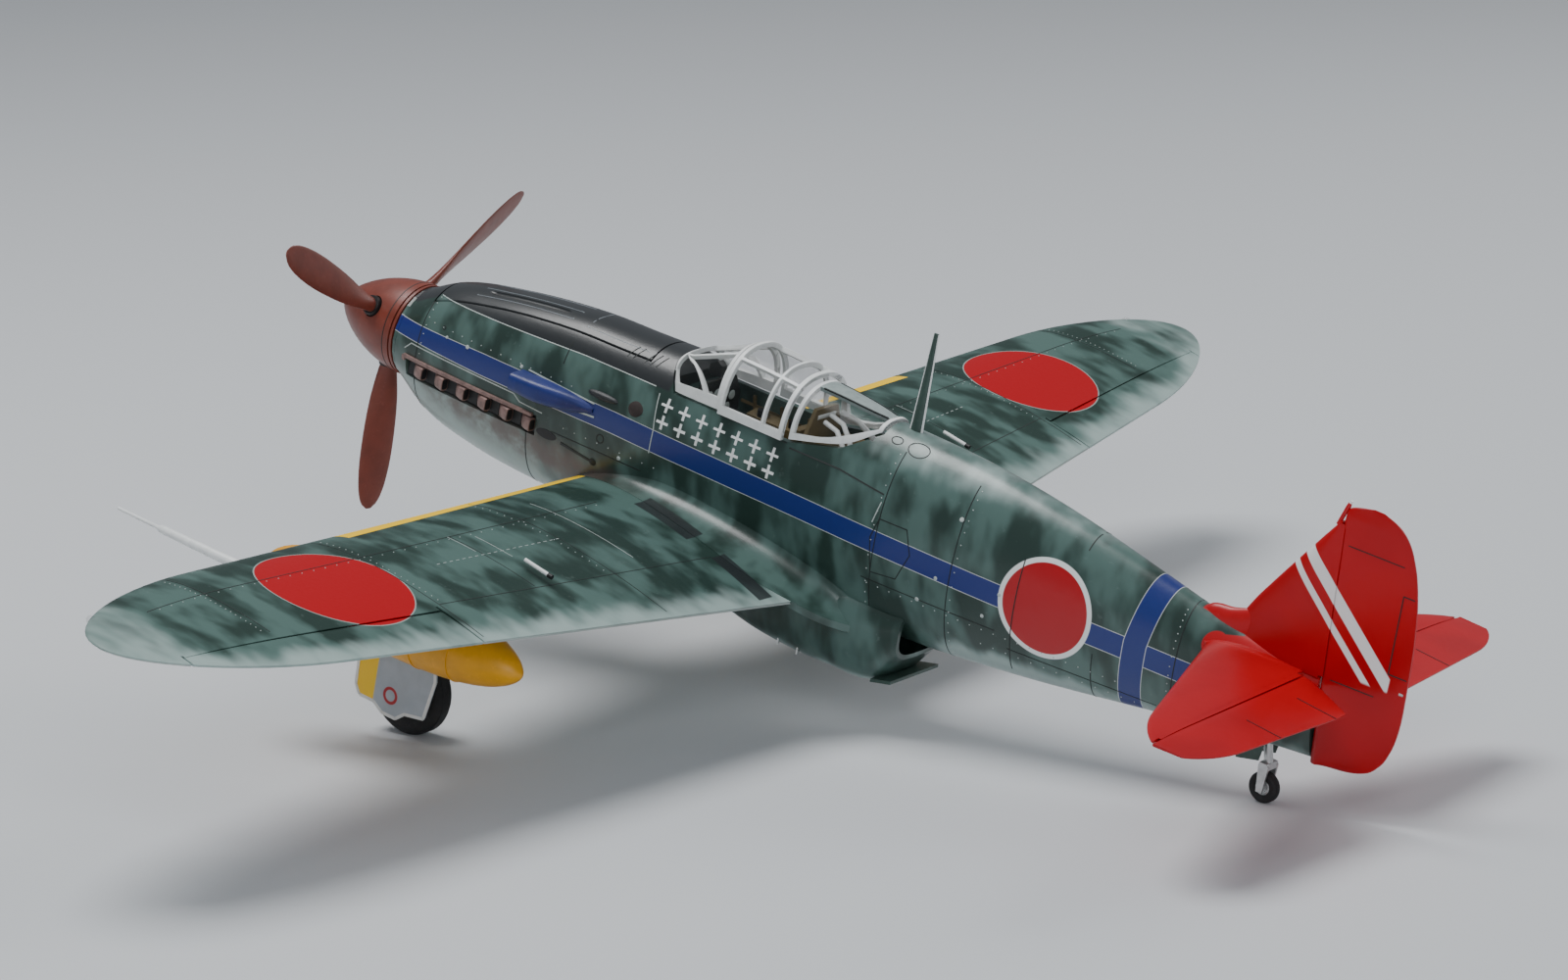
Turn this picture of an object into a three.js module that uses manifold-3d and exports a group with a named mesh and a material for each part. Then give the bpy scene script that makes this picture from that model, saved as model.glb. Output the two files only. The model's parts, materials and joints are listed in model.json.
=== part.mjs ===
// A display model of a low-wing, single-seat propeller plane, 1:48, standing on its three wheels.
//
// The model is drawn in full-size metres and scaled once, in at(). Places on it are given as
//   s: how far aft of the spinner's tip,  y: how far to port,  z: how far above the thrust line.
// The finished group is tipped nose-up until its wheels stand on one floor.

import * as THREE from "three";
import { mergeVertices } from "three/addons/utils/BufferGeometryUtils.js";
import Module from "manifold-3d";

const wasm = await Module();
wasm.setup();

// ---- driving dimensions, full-size metres and degrees unless a name says mm ----

const MM = 1000 / 48; // millimetres of model for each full-size metre
const GAP = 0.3 / MM; // clearance where a piece is cut by its neighbour
const SEAM = 0.04 / MM; // half the glue seam between two moulded halves
const SKIN = 0.9 / MM; // thickness of the moulded fuselage
const WING_SKIN = 0.8 / MM;
const GLASS = 0.55 / MM; // thickness of the clear mouldings
const WELD_MM = 1e-3; // corners closer than this are one corner

// Fuselage: station, half width, top, bottom, height of its widest line, squareness.
const FUSELAGE = [
  [0.78, 0.345, 0.35, -0.36, 0.0, 2.0],
  [1.0, 0.375, 0.46, -0.5, 0.0, 2.2],
  [1.5, 0.405, 0.57, -0.61, 0.02, 2.4],
  [2.2, 0.42, 0.655, -0.66, 0.03, 2.4],
  [2.7, 0.42, 0.67, -0.68, 0.04, 2.35],
  [3.2, 0.42, 0.69, -0.68, 0.05, 2.3],
  [3.7, 0.405, 0.735, -0.66, 0.06, 2.2],
  [4.3, 0.385, 0.78, -0.64, 0.07, 2.1],
  [4.9, 0.375, 0.775, -0.63, 0.08, 2.1],
  [5.43, 0.35, 0.76, -0.61, 0.09, 2.1],
  [5.83, 0.325, 0.725, -0.57, 0.09, 2.1],
  [6.32, 0.28, 0.655, -0.51, 0.1, 2.1],
  [6.98, 0.21, 0.525, -0.41, 0.1, 2.1],
  [7.6, 0.15, 0.4, -0.31, 0.08, 2.1],
  [8.0, 0.105, 0.34, -0.26, 0.06, 2.1],
  [8.25, 0.062, 0.3, -0.235, 0.04, 2.1],
];
const NOSE = FUSELAGE[0][0];
const TAIL_END = FUSELAGE.at(-1)[0];
const HALF_SECTION_STEPS = 10;

const SPINNER = { length: 0.7, radius: 0.34, plateEnd: 0.735, bore: 0.06 };
const PROPELLER = { station: 0.47, radius: 1.48, hub: 0.14, firstBlade: 58.5, blades: 3 };
// Blade: share of the radius, chord, thickness, pitch angle in degrees.
const BLADE = [
  [0.1, 0.11, 0.11, 50],
  [0.215, 0.11, 0.1, 46],
  [0.27, 0.14, 0.075, 41],
  [0.42, 0.21, 0.05, 30],
  [0.6, 0.25, 0.034, 23],
  [0.8, 0.245, 0.024, 19],
  [0.93, 0.18, 0.016, 17],
  [0.99, 0.08, 0.012, 16],
];

// Wing: lines of the leading and trailing edges at the centre and at the tip.
const WING = {
  front: [2.491, 2.836],
  rear: [4.708, 3.964],
  halfSpan: 6.0,
  tipFrom: 4.6,
  z: -0.458,
  dihedral: 4.0,
  incidence: 1.2,
  thickness: [0.16, 0.09],
  camber: 0.018,
  rearEdge: 0.012,
};
const AILERON = { inner: 3.45, outer: 5.62, hinge: 0.78 };
const TAILPLANE = {
  root: 0.075,
  front: [7.432, 8.066],
  rear: [8.66, 8.543],
  halfSpan: 1.93,
  tipFrom: 1.48,
  z: 0.266,
  dihedral: 0,
  incidence: 0,
  thickness: [0.1, 0.08],
  camber: 0,
  rearEdge: 0.008,
};
const ELEVATOR = { inner: 0.13, outer: 1.93, hinge: 8.2, rootRear: 8.34 };
const CHORD_STEPS = [0.012, 0.05, 0.12, 0.25, 0.42, 0.6, 0.8, 0.985];
const TIP_STEPS = [0, 0.3, 0.55, 0.75, 0.88, 0.96, 0.985];

// Fin: height, front line. Rudder: height, rear line, how far its nose stands aft of the hinge.
const FIN = [
  [0.3, 7.4],
  [0.42, 7.545],
  [0.66, 7.695],
  [0.91, 7.857],
  [1.2, 8.05],
  [1.33, 8.14],
];
const RUDDER = [
  [-0.255, 8.42, 0],
  [-0.24, 8.54, 0],
  [-0.2, 8.68, 0],
  [-0.12, 8.775, 0],
  [0.0, 8.83, 0],
  [0.15, 8.855, 0],
  [0.45, 8.845, 0],
  [0.76, 8.82, 0],
  [1.02, 8.775, 0],
  [1.23, 8.705, 0],
  [1.38, 8.61, 0],
  [1.44, 8.53, 0.03],
  [1.478, 8.42, 0.17],
];
const RUDDER_HINGE = { bottom: [8.362, -0.26], top: [8.192, 1.34] };
const RUDDER_EDGE = 0.007; // half the thickness of its rear edge
const RUDDER_NOSE = { root: 0.052, tip: 0.022 }; // radius of the round nose, at z = 0 and z = 1.4

// Cockpit: side view of the hole in the fuselage, station and height.
const COCKPIT_HOLE = [
  [3.08, 0.64],
  [3.2, 0.47],
  [4.17, 0.47],
  [4.56, 0.56],
  [4.8, 0.722],
  [4.8, 1.3],
  [3.08, 1.3],
];
const WINDSCREEN = { front: 3.12, arch: 3.58, top: [0.705, 0.91], base: 0.49 };
const SLIDE = { front: 3.6, rear: 4.14, half: 0.365, top: [0.92, 0.885], base: 0.478, square: 2.4 };
// Glazing behind the sliding part: station, sill height, top height, squareness.
const REAR_CANOPY = [
  [4.17, 0.49, 0.845, 2.3],
  [4.4, 0.543, 0.832, 2.2],
  [4.6, 0.606, 0.813, 2.1],
  [4.78, 0.73, 0.79, 2.0],
];
const ARCH_STEPS = 12;
const FLOOR_Z = -0.11;
const SEAT = [
  [3.72, 0.02],
  [4.06, 0.0],
  [4.16, 0.52],
  [4.12, 0.53],
  [4.02, 0.045],
  [3.72, 0.055],
];
const ARMOUR = [
  [0.2, -0.09],
  [0.2, 0.5],
  [0.12, 0.68],
];
const PANEL = [
  [0.26, 0.1],
  [0.26, 0.42],
  [0.18, 0.56],
];

// Nose: exhausts, the port air scoop (station, reach to port, low, high) and the gun panel.
const EXHAUSTS = {
  reach: [0.92, 2.14],
  height: [-0.18, -0.06],
  first: 0.99,
  last: 2.03,
  count: 6,
  radius: 0.036,
};
const INTAKE = [
  [1.97, 0.56, 0.09, 0.22],
  [2.2, 0.56, 0.08, 0.225],
  [2.45, 0.49, 0.09, 0.21],
  [2.62, 0.43, 0.12, 0.18],
];
const GUN_COWL = {
  front: 1.0,
  rear: 2.9,
  half: 0.24,
  low: 0.3,
  trough: [1.35, 2.1],
  troughY: 0.12,
  troughHalf: 0.025,
};

// Belly: the radiator's housing and its channel, as station, half width, top, bottom.
const RADIATOR = {
  body: [
    [3.8, 0.31, -0.4, -0.9],
    [4.2, 0.36, -0.36, -0.955],
    [4.75, 0.36, -0.34, -0.97],
    [5.16, 0.32, -0.34, -0.91],
    [5.3, 0.3, -0.34, -0.72],
  ],
  channel: [
    [3.7, 0.27, -0.67, -0.86],
    [4.2, 0.32, -0.68, -0.915],
    [4.75, 0.32, -0.67, -0.93],
    [5.16, 0.28, -0.66, -0.875],
    [5.4, 0.26, -0.66, -0.84],
  ],
  core: [4.42, 4.52],
};
// Wing root fairing: station, reach to the side, height on the fuselage, height on the wing.
const FILLET = [
  [2.7, 0.46, -0.3, -0.36],
  [3.2, 0.58, -0.1, -0.3],
  [3.8, 0.68, -0.12, -0.34],
  [4.4, 0.72, -0.2, -0.45],
  [4.7, 0.62, -0.28, -0.5],
  [4.93, 0.42, -0.38, -0.52],
];

// Undercarriage: wheel centres, tyre radius and width.
const MAIN_WHEEL = { s: 2.75, y: 2.08, z: -1.5, radius: 0.305, width: 0.17, rim: 0.16, axle: 0.03 };
const TAIL_WHEEL = { s: 8.03, y: 0, z: -0.56, radius: 0.105, width: 0.075, rim: 0.05, axle: 0.016 };
const TYRE_SIDES = 24;
const TAIL_TYRE_SIDES = 16;
const LEG = { y: 2.195, topS: 2.84, radius: 0.045, coverY: 2.255 };
const GEAR_COVER = [
  [2.54, -0.45],
  [2.5, -0.95],
  [2.42, -1.3],
  [2.43, -1.54],
  [2.47, -1.6],
  [2.6, -1.6],
  [2.68, -1.65],
  [2.8, -1.65],
  [2.87, -1.59],
  [3.03, -1.56],
  [3.08, -1.28],
  [3.02, -0.95],
  [3.0, -0.45],
];
const INNER_DOOR = { ribs: [0.5, 1.25], chord: [0.1, 0.4] };
const PROBE = { y: 4.08, foot: 2.68, step: 2.07, tip: 1.72 };
const MAST = { base: [4.94, 0.74], top: [4.95, 1.46], foot: [0.046, 0.026], head: [0.018, 0.012] };
const PYLON = { top: [2.72, 3.36], bottom: [2.68, 3.2], bevel: [2.62, 3.32], half: 0.04 };
const INDICATOR = { y: 2.37, chord: 0.6, foot: [3.93, 0.022], tip: [3.7, 0.055], radius: 0.018 };
const TAIL_FORK = { top: -0.4, front: 0.045, rear: 0.03, end: 0.022, width: 0.018, clear: 0.012 };
const TAIL_POST = { from: [0.06, -0.2], to: [0.008, -0.4], radius: 0.03 };
const BELLY_OPENING = { s: [2.53, 4.66], half: 0.5, z: [-1, -0.42] };
const FLOOR = { s: [3.2, 4.75], half: [0.3, 0.28], thickness: 0.03 };
const REAR_DECK = { s: [4.26, 4.78], half: [0.24, 0.23], z: [0.44, 0.465] };
const GUNSIGHT = [
  [3.24, 0.585],
  [3.34, 0.585],
  [3.34, 0.66],
  [3.3, 0.69],
  [3.24, 0.65],
];
const STICK = [
  [3.62, 0.12, 0.014],
  [3.63, 0.14, 0.024],
  [3.65, 0.24, 0.024],
];
const TANK = { s: [1.77, 3.97], y: 2.56, z: -0.81, radius: 0.25, widest: 0.4, sides: 16 };

// ---- colours ----

const paint = (color, roughness = 0.45, metalness = 0) =>
  new THREE.MeshStandardMaterial({ color, roughness, metalness });
const GREEN = paint(0x4f6a5e);
const CHARCOAL = paint(0x26282a);
const BROWN = paint(0x6e3026, 0.4);
const YELLOW = paint(0xe2a41f);
const RED = paint(0xc01a22);
const GREY = paint(0x9aa3a6);
const STEEL = paint(0xb9bcbc, 0.35, 0.8);
const EXHAUST = paint(0x5a4238, 0.5, 0.6);
const BLUE = paint(0x24337e);
const INTERIOR = paint(0x7c7448, 0.6);
const RUBBER = paint(0x151515, 0.8);
const SILVER = paint(0xc9ccca, 0.3, 0.7);
const CLEAR = new THREE.MeshStandardMaterial({
  color: 0xdfe8e6,
  roughness: 0.05,
  transparent: true,
  opacity: 0.4,
});

// ---- geometry helpers ----

const at = (s, y, z) => new THREE.Vector3(-s * MM, y * MM, z * MM);
const lerp = THREE.MathUtils.lerp;
const radians = THREE.MathUtils.degToRad;

// Reads a table of [position, values...] at a position, on a smooth curve through its rows.
function along(table, position) {
  const last = table.length - 1;
  let i = 0;
  while (i < last - 1 && position > table[i + 1][0]) i += 1;
  const [a, b] = [table[i], table[i + 1]];
  const span = b[0] - a[0];
  const t = THREE.MathUtils.clamp((position - a[0]) / span, 0, 1);
  return a.slice(1).map((value, k) => {
    const slope = (p, q) => (q[k + 1] - p[k + 1]) / (q[0] - p[0]);
    const here = slope(a, b);
    const before = i > 0 ? (slope(table[i - 1], a) + here) / 2 : here;
    const after = i + 2 <= last ? (slope(b, table[i + 2]) + here) / 2 : here;
    const [t2, t3] = [t * t, t * t * t];
    return (
      value * (2 * t3 - 3 * t2 + 1) +
      b[k + 1] * (3 * t2 - 2 * t3) +
      span * (before * (t3 - 2 * t2 + t) + after * (t3 - t2))
    );
  });
}

// A closed geometry as a manifold-3d solid, turned to face out.
function toSolid(geometry) {
  const loose = geometry.index ? geometry.toNonIndexed() : geometry;
  const bare = new THREE.BufferGeometry();
  bare.setAttribute("position", loose.getAttribute("position"));
  const welded = mergeVertices(bare, WELD_MM);
  const corners = welded.index.array;
  const vertProperties = new Float32Array(welded.attributes.position.array);
  const kept = [];
  for (let i = 0; i < corners.length; i += 3) {
    const [a, b, c] = corners.slice(i, i + 3);
    if (a !== b && b !== c && c !== a) kept.push(a, b, c);
  }
  const build = (list) => {
    const triVerts = new Uint32Array(list);
    return new wasm.Manifold(new wasm.Mesh({ numProp: 3, vertProperties, triVerts }));
  };
  const solid = build(kept);
  return solid.volume() < 0 ? build(kept.reverse()) : solid;
}

function toGeometry(solid) {
  const { vertProperties, triVerts } = solid.getMesh();
  const geometry = new THREE.BufferGeometry();
  geometry.setAttribute("position", new THREE.BufferAttribute(vertProperties, 3));
  geometry.setIndex(new THREE.BufferAttribute(triVerts, 1));
  geometry.computeVertexNormals();
  return geometry;
}

// The signed area of a flat outline of [u, v] pairs.
const areaOf = (outline) =>
  THREE.ShapeUtils.area(outline.map(([u, v]) => new THREE.Vector2(u, v)));

// Covers one end outline; the faces turn the same way as the outline does.
function capFaces(ring, first) {
  const normal = new THREE.Vector3();
  ring.forEach((p, i) => normal.add(p.clone().cross(ring[(i + 1) % ring.length])));
  if (normal.length() < WELD_MM) return [];
  const size = normal.toArray().map(Math.abs);
  const drop = size.indexOf(Math.max(...size));
  const [u, v] = [0, 1, 2].filter((k) => k !== drop);
  const flat = ring.map((p) => new THREE.Vector2(p.getComponent(u), p.getComponent(v)));
  const turn = Math.sign(THREE.ShapeUtils.area(flat));
  return THREE.ShapeUtils.triangulateShape(flat, []).flatMap((face) => {
    const same = Math.sign(THREE.ShapeUtils.area(face.map((i) => flat[i]))) === turn;
    return (same ? face : face.reverse()).map((i) => first + i);
  });
}

// Skins a row of outlines that have the same number of corners, and closes both ends.
function loft(rings) {
  const n = rings[0].length;
  const faces = capFaces(rings[0], 0).reverse();
  for (let k = 0; k < rings.length - 1; k += 1) {
    for (let i = 0; i < n; i += 1) {
      const [a, b] = [k * n + i, k * n + ((i + 1) % n)];
      faces.push(a, b, b + n, a, b + n, a + n);
    }
  }
  faces.push(...capFaces(rings.at(-1), (rings.length - 1) * n));
  const geometry = new THREE.BufferGeometry();
  geometry.setFromPoints(rings.flat());
  geometry.setIndex(faces);
  return toSolid(geometry);
}

// A flat outline of [s, z] pairs, swept from one y to another.
const plateAcross = (outline, fromY, toY) =>
  loft([fromY, toY].map((y) => outline.map(([s, z]) => at(s, y, z))));

// A flat outline of [y, z] pairs, swept from one station to another.
const plateAlong = (outline, fromS, toS) =>
  loft([fromS, toS].map((s) => outline.map(([y, z]) => at(s, y, z))));

// A flat outline of [s, y] pairs, swept from one height to another.
const plateUp = (outline, fromZ, toZ) =>
  loft([fromZ, toZ].map((z) => outline.map(([s, y]) => at(s, y, z))));

// A round bar through [point, radius] pairs, with flat ends.
function bar(stops, sides = 10) {
  const from = stops[0][0];
  const axis = stops.at(-1)[0].clone().sub(from).normalize();
  const turn = new THREE.Quaternion().setFromUnitVectors(new THREE.Vector3(0, 0, 1), axis);
  return loft(
    stops.map(([centre, radius]) =>
      Array.from({ length: sides }, (_, i) => {
        const angle = (2 * Math.PI * (i + 0.5)) / sides;
        const spoke = new THREE.Vector3(Math.cos(angle), Math.sin(angle), 0);
        return spoke.multiplyScalar(radius * MM).applyQuaternion(turn).add(centre);
      }),
    ),
  );
}

// A turned piece: [radius, distance] pairs about a line through a point, in full-size metres.
function turned(profile, centre, direction, sides, phase = 0) {
  const outline = profile.map(([r, h]) => new THREE.Vector2(r * MM, h * MM));
  const closed = profile[0][0] > 0 ? [...outline, outline[0]] : outline;
  const geometry = new THREE.LatheGeometry(closed, sides, phase);
  const up = new THREE.Vector3(0, 1, 0);
  geometry.applyQuaternion(new THREE.Quaternion().setFromUnitVectors(up, direction));
  geometry.translate(...centre.toArray());
  return toSolid(geometry);
}
const AFT = new THREE.Vector3(-1, 0, 0);
const PORT = new THREE.Vector3(0, 1, 0);

const joined = (solids) => solids.reduce((all, next) => all.add(next));
const cut = (solid, ...cutters) => cutters.reduce((left, cutter) => left.subtract(cutter), solid);
const superPower = (value, squareness) => Math.sign(value) * Math.abs(value) ** (2 / squareness);
const SIDES = { left: 1, right: -1 };

// ---- fuselage ----

// A point on the fuselage: turn is -90 at the keel, 0 at the widest line and 90 at the spine.
function fuselagePoint(s, turn, side, inset = 0) {
  const [half, top, bottom, widest, squareness] = along(FUSELAGE, s);
  const angle = radians(turn);
  const reach = turn > 0 ? top - inset - widest : widest - bottom - inset;
  const y = (half - inset) * superPower(Math.cos(angle), squareness);
  const z = widest + reach * superPower(Math.sin(angle), squareness);
  const lean = 0.106 * THREE.MathUtils.smoothstep(s, 7.4, TAIL_END) * (0.28 - z);
  return at(s + lean, side * y, z);
}

const stationRow = (from, to) => [
  from,
  ...FUSELAGE.map((row) => row[0]).filter((s) => s > from + 0.08 && s < to - 0.08),
  to,
];

function fuselageShell(side) {
  const turns = Array.from({ length: HALF_SECTION_STEPS + 1 }, (_, i) =>
    lerp(-90, 90, i / HALF_SECTION_STEPS),
  );
  const seam = side * SEAM * MM;
  const ring = (s) => {
    const skin = Math.min(SKIN, along(FUSELAGE, s)[0] * 0.5);
    const outer = turns.map((turn) => fuselagePoint(s, turn, side));
    const inner = turns.map((turn) => fuselagePoint(s, turn, side, skin)).reverse();
    return [...outer, ...inner].map((p) => p.setY(p.y + seam));
  };
  return loft(stationRow(NOSE, TAIL_END).map(ring));
}

// The whole fuselage as one block, grown by a margin, to cut its neighbours.
function fuselageBlock(margin, from = NOSE, to = TAIL_END) {
  const count = 4 * HALF_SECTION_STEPS;
  return loft(
    stationRow(from, to).map((s) =>
      Array.from({ length: count }, (_, i) => {
        const around = (360 * i) / count - 90;
        const mirrored = around > 90;
        return fuselagePoint(s, mirrored ? 180 - around : around, mirrored ? -1 : 1, -margin);
      }),
    ),
  );
}

// ---- wings and tailplane ----

// A lifting surface's edges, thickness and height at a distance y from the middle.
function rib(surface, y) {
  const share = y / surface.halfSpan;
  const round = Math.max(0, (y - surface.tipFrom) / (surface.halfSpan - surface.tipFrom));
  const shrink = Math.sqrt(Math.max(0, 1 - round * round));
  const front = lerp(...surface.front, share);
  const rear = lerp(...surface.rear, share);
  const middle = (front + rear) / 2;
  return {
    front: lerp(middle, front, shrink),
    rear: lerp(middle, rear, shrink),
    thickness: lerp(...surface.thickness, share),
    z: surface.z + y * Math.tan(radians(surface.dihedral)),
  };
}

// Half the thickness of the profile at share x of its chord, over the chord.
const profileHalf = (x, thickness) =>
  5 *
  thickness *
  (0.2969 * Math.sqrt(x) - 0.126 * x - 0.3516 * x ** 2 + 0.2843 * x ** 3 - 0.1015 * x ** 4);

function halfThickness(surface, y, x) {
  const { front, rear, thickness } = rib(surface, y);
  return (rear - front) * profileHalf(x, thickness) + (surface.rearEdge * x) / 2;
}

// Height at share x of the chord: level 1 is the upper skin, -1 the lower, 0 the middle.
function surfaceZ(surface, y, x, level, inset = 0) {
  const { front, rear, z } = rib(surface, y);
  const chord = rear - front;
  const camber = 4 * surface.camber * chord * x * (1 - x);
  const aft = front + x * chord - lerp(...surface.front, y / surface.halfSpan);
  const half = Math.max(SEAM, halfThickness(surface, y, x) - inset);
  return z + camber - aft * Math.tan(radians(surface.incidence)) + level * half;
}

function surfacePoint(surface, side, y, x, level, inset = 0) {
  const { front, rear } = rib(surface, y);
  return at(lerp(front, rear, x), side * y, surfaceZ(surface, y, x, level, inset));
}

const ribRow = (surface, from) => [
  from,
  ...TIP_STEPS.map((t) => lerp(surface.tipFrom, surface.halfSpan, t)),
];

// One outline of a hollow skin: the outside, then the inside back again.
function skinRing(side, y, level) {
  const outer = CHORD_STEPS.map((x) => surfacePoint(WING, side, y, x, level));
  const inner = CHORD_STEPS.map((x) => surfacePoint(WING, side, y, x, level, WING_SKIN));
  return [...outer, ...inner.reverse()];
}

function solidRing(surface, side, y, inset = 0) {
  const upper = CHORD_STEPS.map((x) => surfacePoint(surface, side, y, x, 1, inset));
  const lower = CHORD_STEPS.map((x) => surfacePoint(surface, side, y, x, -1, inset));
  return [...upper, ...lower.reverse()];
}

// The wing as one block between two ribs, grown by a margin, to cut its neighbours.
function wingBlock(margin, side, fromY, toY) {
  return loft(
    [fromY, toY].map((y) => {
      const ring = solidRing(WING, side, y, -margin);
      const { front, rear } = rib(WING, y);
      const nose = at(front - 2 * margin, side * y, surfaceZ(WING, y, 0, 0));
      const edge = at(rear + 2 * margin, side * y, surfaceZ(WING, y, 1, 0));
      ring.splice(CHORD_STEPS.length, 0, edge);
      return [nose, ...ring];
    }),
  );
}

// The aileron's hinge is straight: it runs on in a line where the wing tip rounds off.
function aileronHinge(y) {
  const [a, b] = [AILERON.inner, WING.tipFrom];
  const lineAt = (t) => lerp(rib(WING, t).front, rib(WING, t).rear, AILERON.hinge);
  return lerp(lineAt(a), lineAt(b), (y - a) / (b - a));
}
function aileronHingeShare(y) {
  const { front, rear } = rib(WING, y);
  return (aileronHinge(y) - front) / (rear - front);
}
const aileronHingeZ = (y) => surfaceZ(WING, y, aileronHingeShare(y), 0);
const aileronNose = (y) => Math.max(0.01, 0.9 * halfThickness(WING, y, aileronHingeShare(y)));

// The space that the wing leaves free for an aileron.
function aileronSpace(side) {
  const [inner, outer] = [AILERON.inner - GAP, AILERON.outer + GAP];
  const nose = (y) => aileronHinge(y) - aileronNose(y) - GAP;
  const corners = [
    [nose(inner), side * inner],
    [nose(outer), side * outer],
    [5.2, side * outer],
    [5.2, side * inner],
  ];
  return plateUp(corners, -1.2, 0.8);
}

// Outline of a moving surface, [s, height]: a round nose about its hinge, then a thin rear edge.
function flapOutline(hinge, radius, rear, rearHalf) {
  const nose = [90, 135, 180, 225, 270].map((angle) => {
    const turn = radians(angle);
    return [hinge + radius * Math.cos(turn), radius * Math.sin(turn)];
  });
  return [...nose, [rear, -rearHalf], [rear, rearHalf]];
}

function aileron(side) {
  const rows = [AILERON.inner, 4.1, WING.tipFrom, 4.95, 5.25, 5.48, AILERON.outer];
  return loft(
    rows.map((y) => {
      const { rear } = rib(WING, y);
      const hinge = aileronHinge(y);
      const [hingeZ, rearZ] = [aileronHingeZ(y), surfaceZ(WING, y, 1, 0)];
      const outline = flapOutline(hinge, aileronNose(y), rear, WING.rearEdge / 2);
      return outline.map(([s, h]) => {
        const droop = lerp(hingeZ, rearZ, Math.max(0, (s - hinge) / (rear - hinge)));
        return at(s, side * y, droop + h);
      });
    }),
  );
}

function wingLower() {
  const row = ribRow(WING, 0.45);
  const port = row.map((y) => skinRing(1, y, -1)).reverse();
  const starboard = row.map((y) => skinRing(-1, y, -1));
  const keel = skinRing(1, 0, -1);
  return loft([...port, keel, ...starboard]);
}
const wingUpper = (side) => loft(ribRow(WING, 0.3).map((y) => skinRing(side, y, 1)));

const elevatorNose = (y) => {
  const { front, rear } = rib(TAILPLANE, y);
  const share = Math.max(0.02, (ELEVATOR.hinge - front) / (rear - front));
  return Math.max(0.01, 0.92 * halfThickness(TAILPLANE, y, share));
};

function tailplane(side) {
  const whole = loft(ribRow(TAILPLANE, TAILPLANE.root).map((y) => solidRing(TAILPLANE, side, y)));
  const limit = (y) => ELEVATOR.hinge - elevatorNose(y) - GAP;
  const behind = [
    [limit(TAILPLANE.root), 0],
    [limit(1.9), side * 2.1],
    [9, side * 2.1],
    [9, 0],
  ];
  return cut(whole, plateUp(behind, -0.2, 0.8));
}

function elevator(side) {
  const rows = [ELEVATOR.inner, 0.33, 1.0, 1.48, 1.65, 1.78, ELEVATOR.outer - 0.04];
  return loft(
    rows.map((y) => {
      const rear = y === ELEVATOR.inner ? ELEVATOR.rootRear : rib(TAILPLANE, y).rear;
      const nose = elevatorNose(y);
      const rearHalf = y === ELEVATOR.inner ? nose * 0.8 : TAILPLANE.rearEdge / 2;
      return flapOutline(ELEVATOR.hinge, nose, rear, rearHalf).map(([s, h]) =>
        at(s, side * y, TAILPLANE.z + h),
      );
    }),
  );
}

// ---- fin and rudder ----

const rudderHinge = (z) => {
  const { bottom, top } = RUDDER_HINGE;
  return lerp(bottom[0], top[0], (z - bottom[1]) / (top[1] - bottom[1]));
};
const rudderNose = (z) => lerp(RUDDER_NOSE.root, RUDDER_NOSE.tip, Math.max(0, z) / 1.4);

function fin() {
  return loft(
    FIN.map(([z, front]) => {
      const half = rudderNose(z) * 1.05;
      const rear = rudderHinge(z) - rudderNose(z) - GAP;
      const port = [
        [front, 0.2],
        [lerp(front, rear, 0.12), 0.62],
        [lerp(front, rear, 0.45), 1.1],
        [rear, 1],
      ];
      const starboard = port.map(([s, share]) => [s, -share]).reverse();
      return [...port, ...starboard].map(([s, share]) => at(s, share * half, z));
    }),
  );
}

const rudder = () =>
  loft(
    RUDDER.map(([z, rear, aft]) =>
      flapOutline(rudderHinge(z) + aft, rudderNose(z), rear, RUDDER_EDGE).map(([s, h]) =>
        at(s, h, z),
      ),
    ),
  );

// ---- canopy ----

// An arch over the cockpit, from the port sill across the top to the starboard sill.
function arch(s, half, top, base, squareness, inset = 0) {
  return Array.from({ length: ARCH_STEPS + 1 }, (_, i) => {
    const angle = (Math.PI * i) / ARCH_STEPS;
    const y = (half - inset) * superPower(Math.cos(angle), squareness);
    const z = base + (top - inset - base) * Math.sin(angle) ** (2 / squareness);
    return at(s, y, z);
  });
}
const archShell = (sections) =>
  loft(
    sections.map((section) => [...arch(...section), ...arch(...section, GLASS).reverse()]),
  );

// Half width of the fuselage at a station and height.
function fuselageHalf(s, z) {
  const [half, top, , widest, squareness] = along(FUSELAGE, s);
  return half * (1 - ((z - widest) / (top - widest)) ** squareness) ** (1 / squareness);
}

function windscreen() {
  const { front, arch: last, top, base } = WINDSCREEN;
  const stations = [front, 3.2, 3.33, 3.46, last];
  const sections = stations.map((s) => {
    const share = (s - front) / (last - front);
    const sill = s < 3.2 ? 0.6 : base;
    return [s, fuselageHalf(s, sill), lerp(...top, share), sill, lerp(2.9, SLIDE.square, share)];
  });
  return archShell(sections);
}

function slidingCanopy() {
  const { front, rear, half, top, base, square } = SLIDE;
  return archShell([
    [front, half, top[0], base, square],
    [(front + rear) / 2, half, lerp(...top, 0.5) + 0.006, base, square],
    [rear, half, top[1], base, square],
  ]);
}

const rearCanopy = () =>
  archShell(
    REAR_CANOPY.map(([s, sill, top, squareness]) => [s, fuselageHalf(s, sill), top, sill, squareness]),
  );

// ---- nose ----

const spinnerRadius = (share) => SPINNER.radius * (1 - (1 - share) ** 1.9) ** 0.75;

const bladeAngle = (index) => radians(PROPELLER.firstBlade + (360 * index) / PROPELLER.blades);

// The way out along a blade: the first one leans from straight up towards starboard.
const bladeAxis = (index) =>
  new THREE.Vector3(0, -Math.sin(bladeAngle(index)), Math.cos(bladeAngle(index)));

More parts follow.
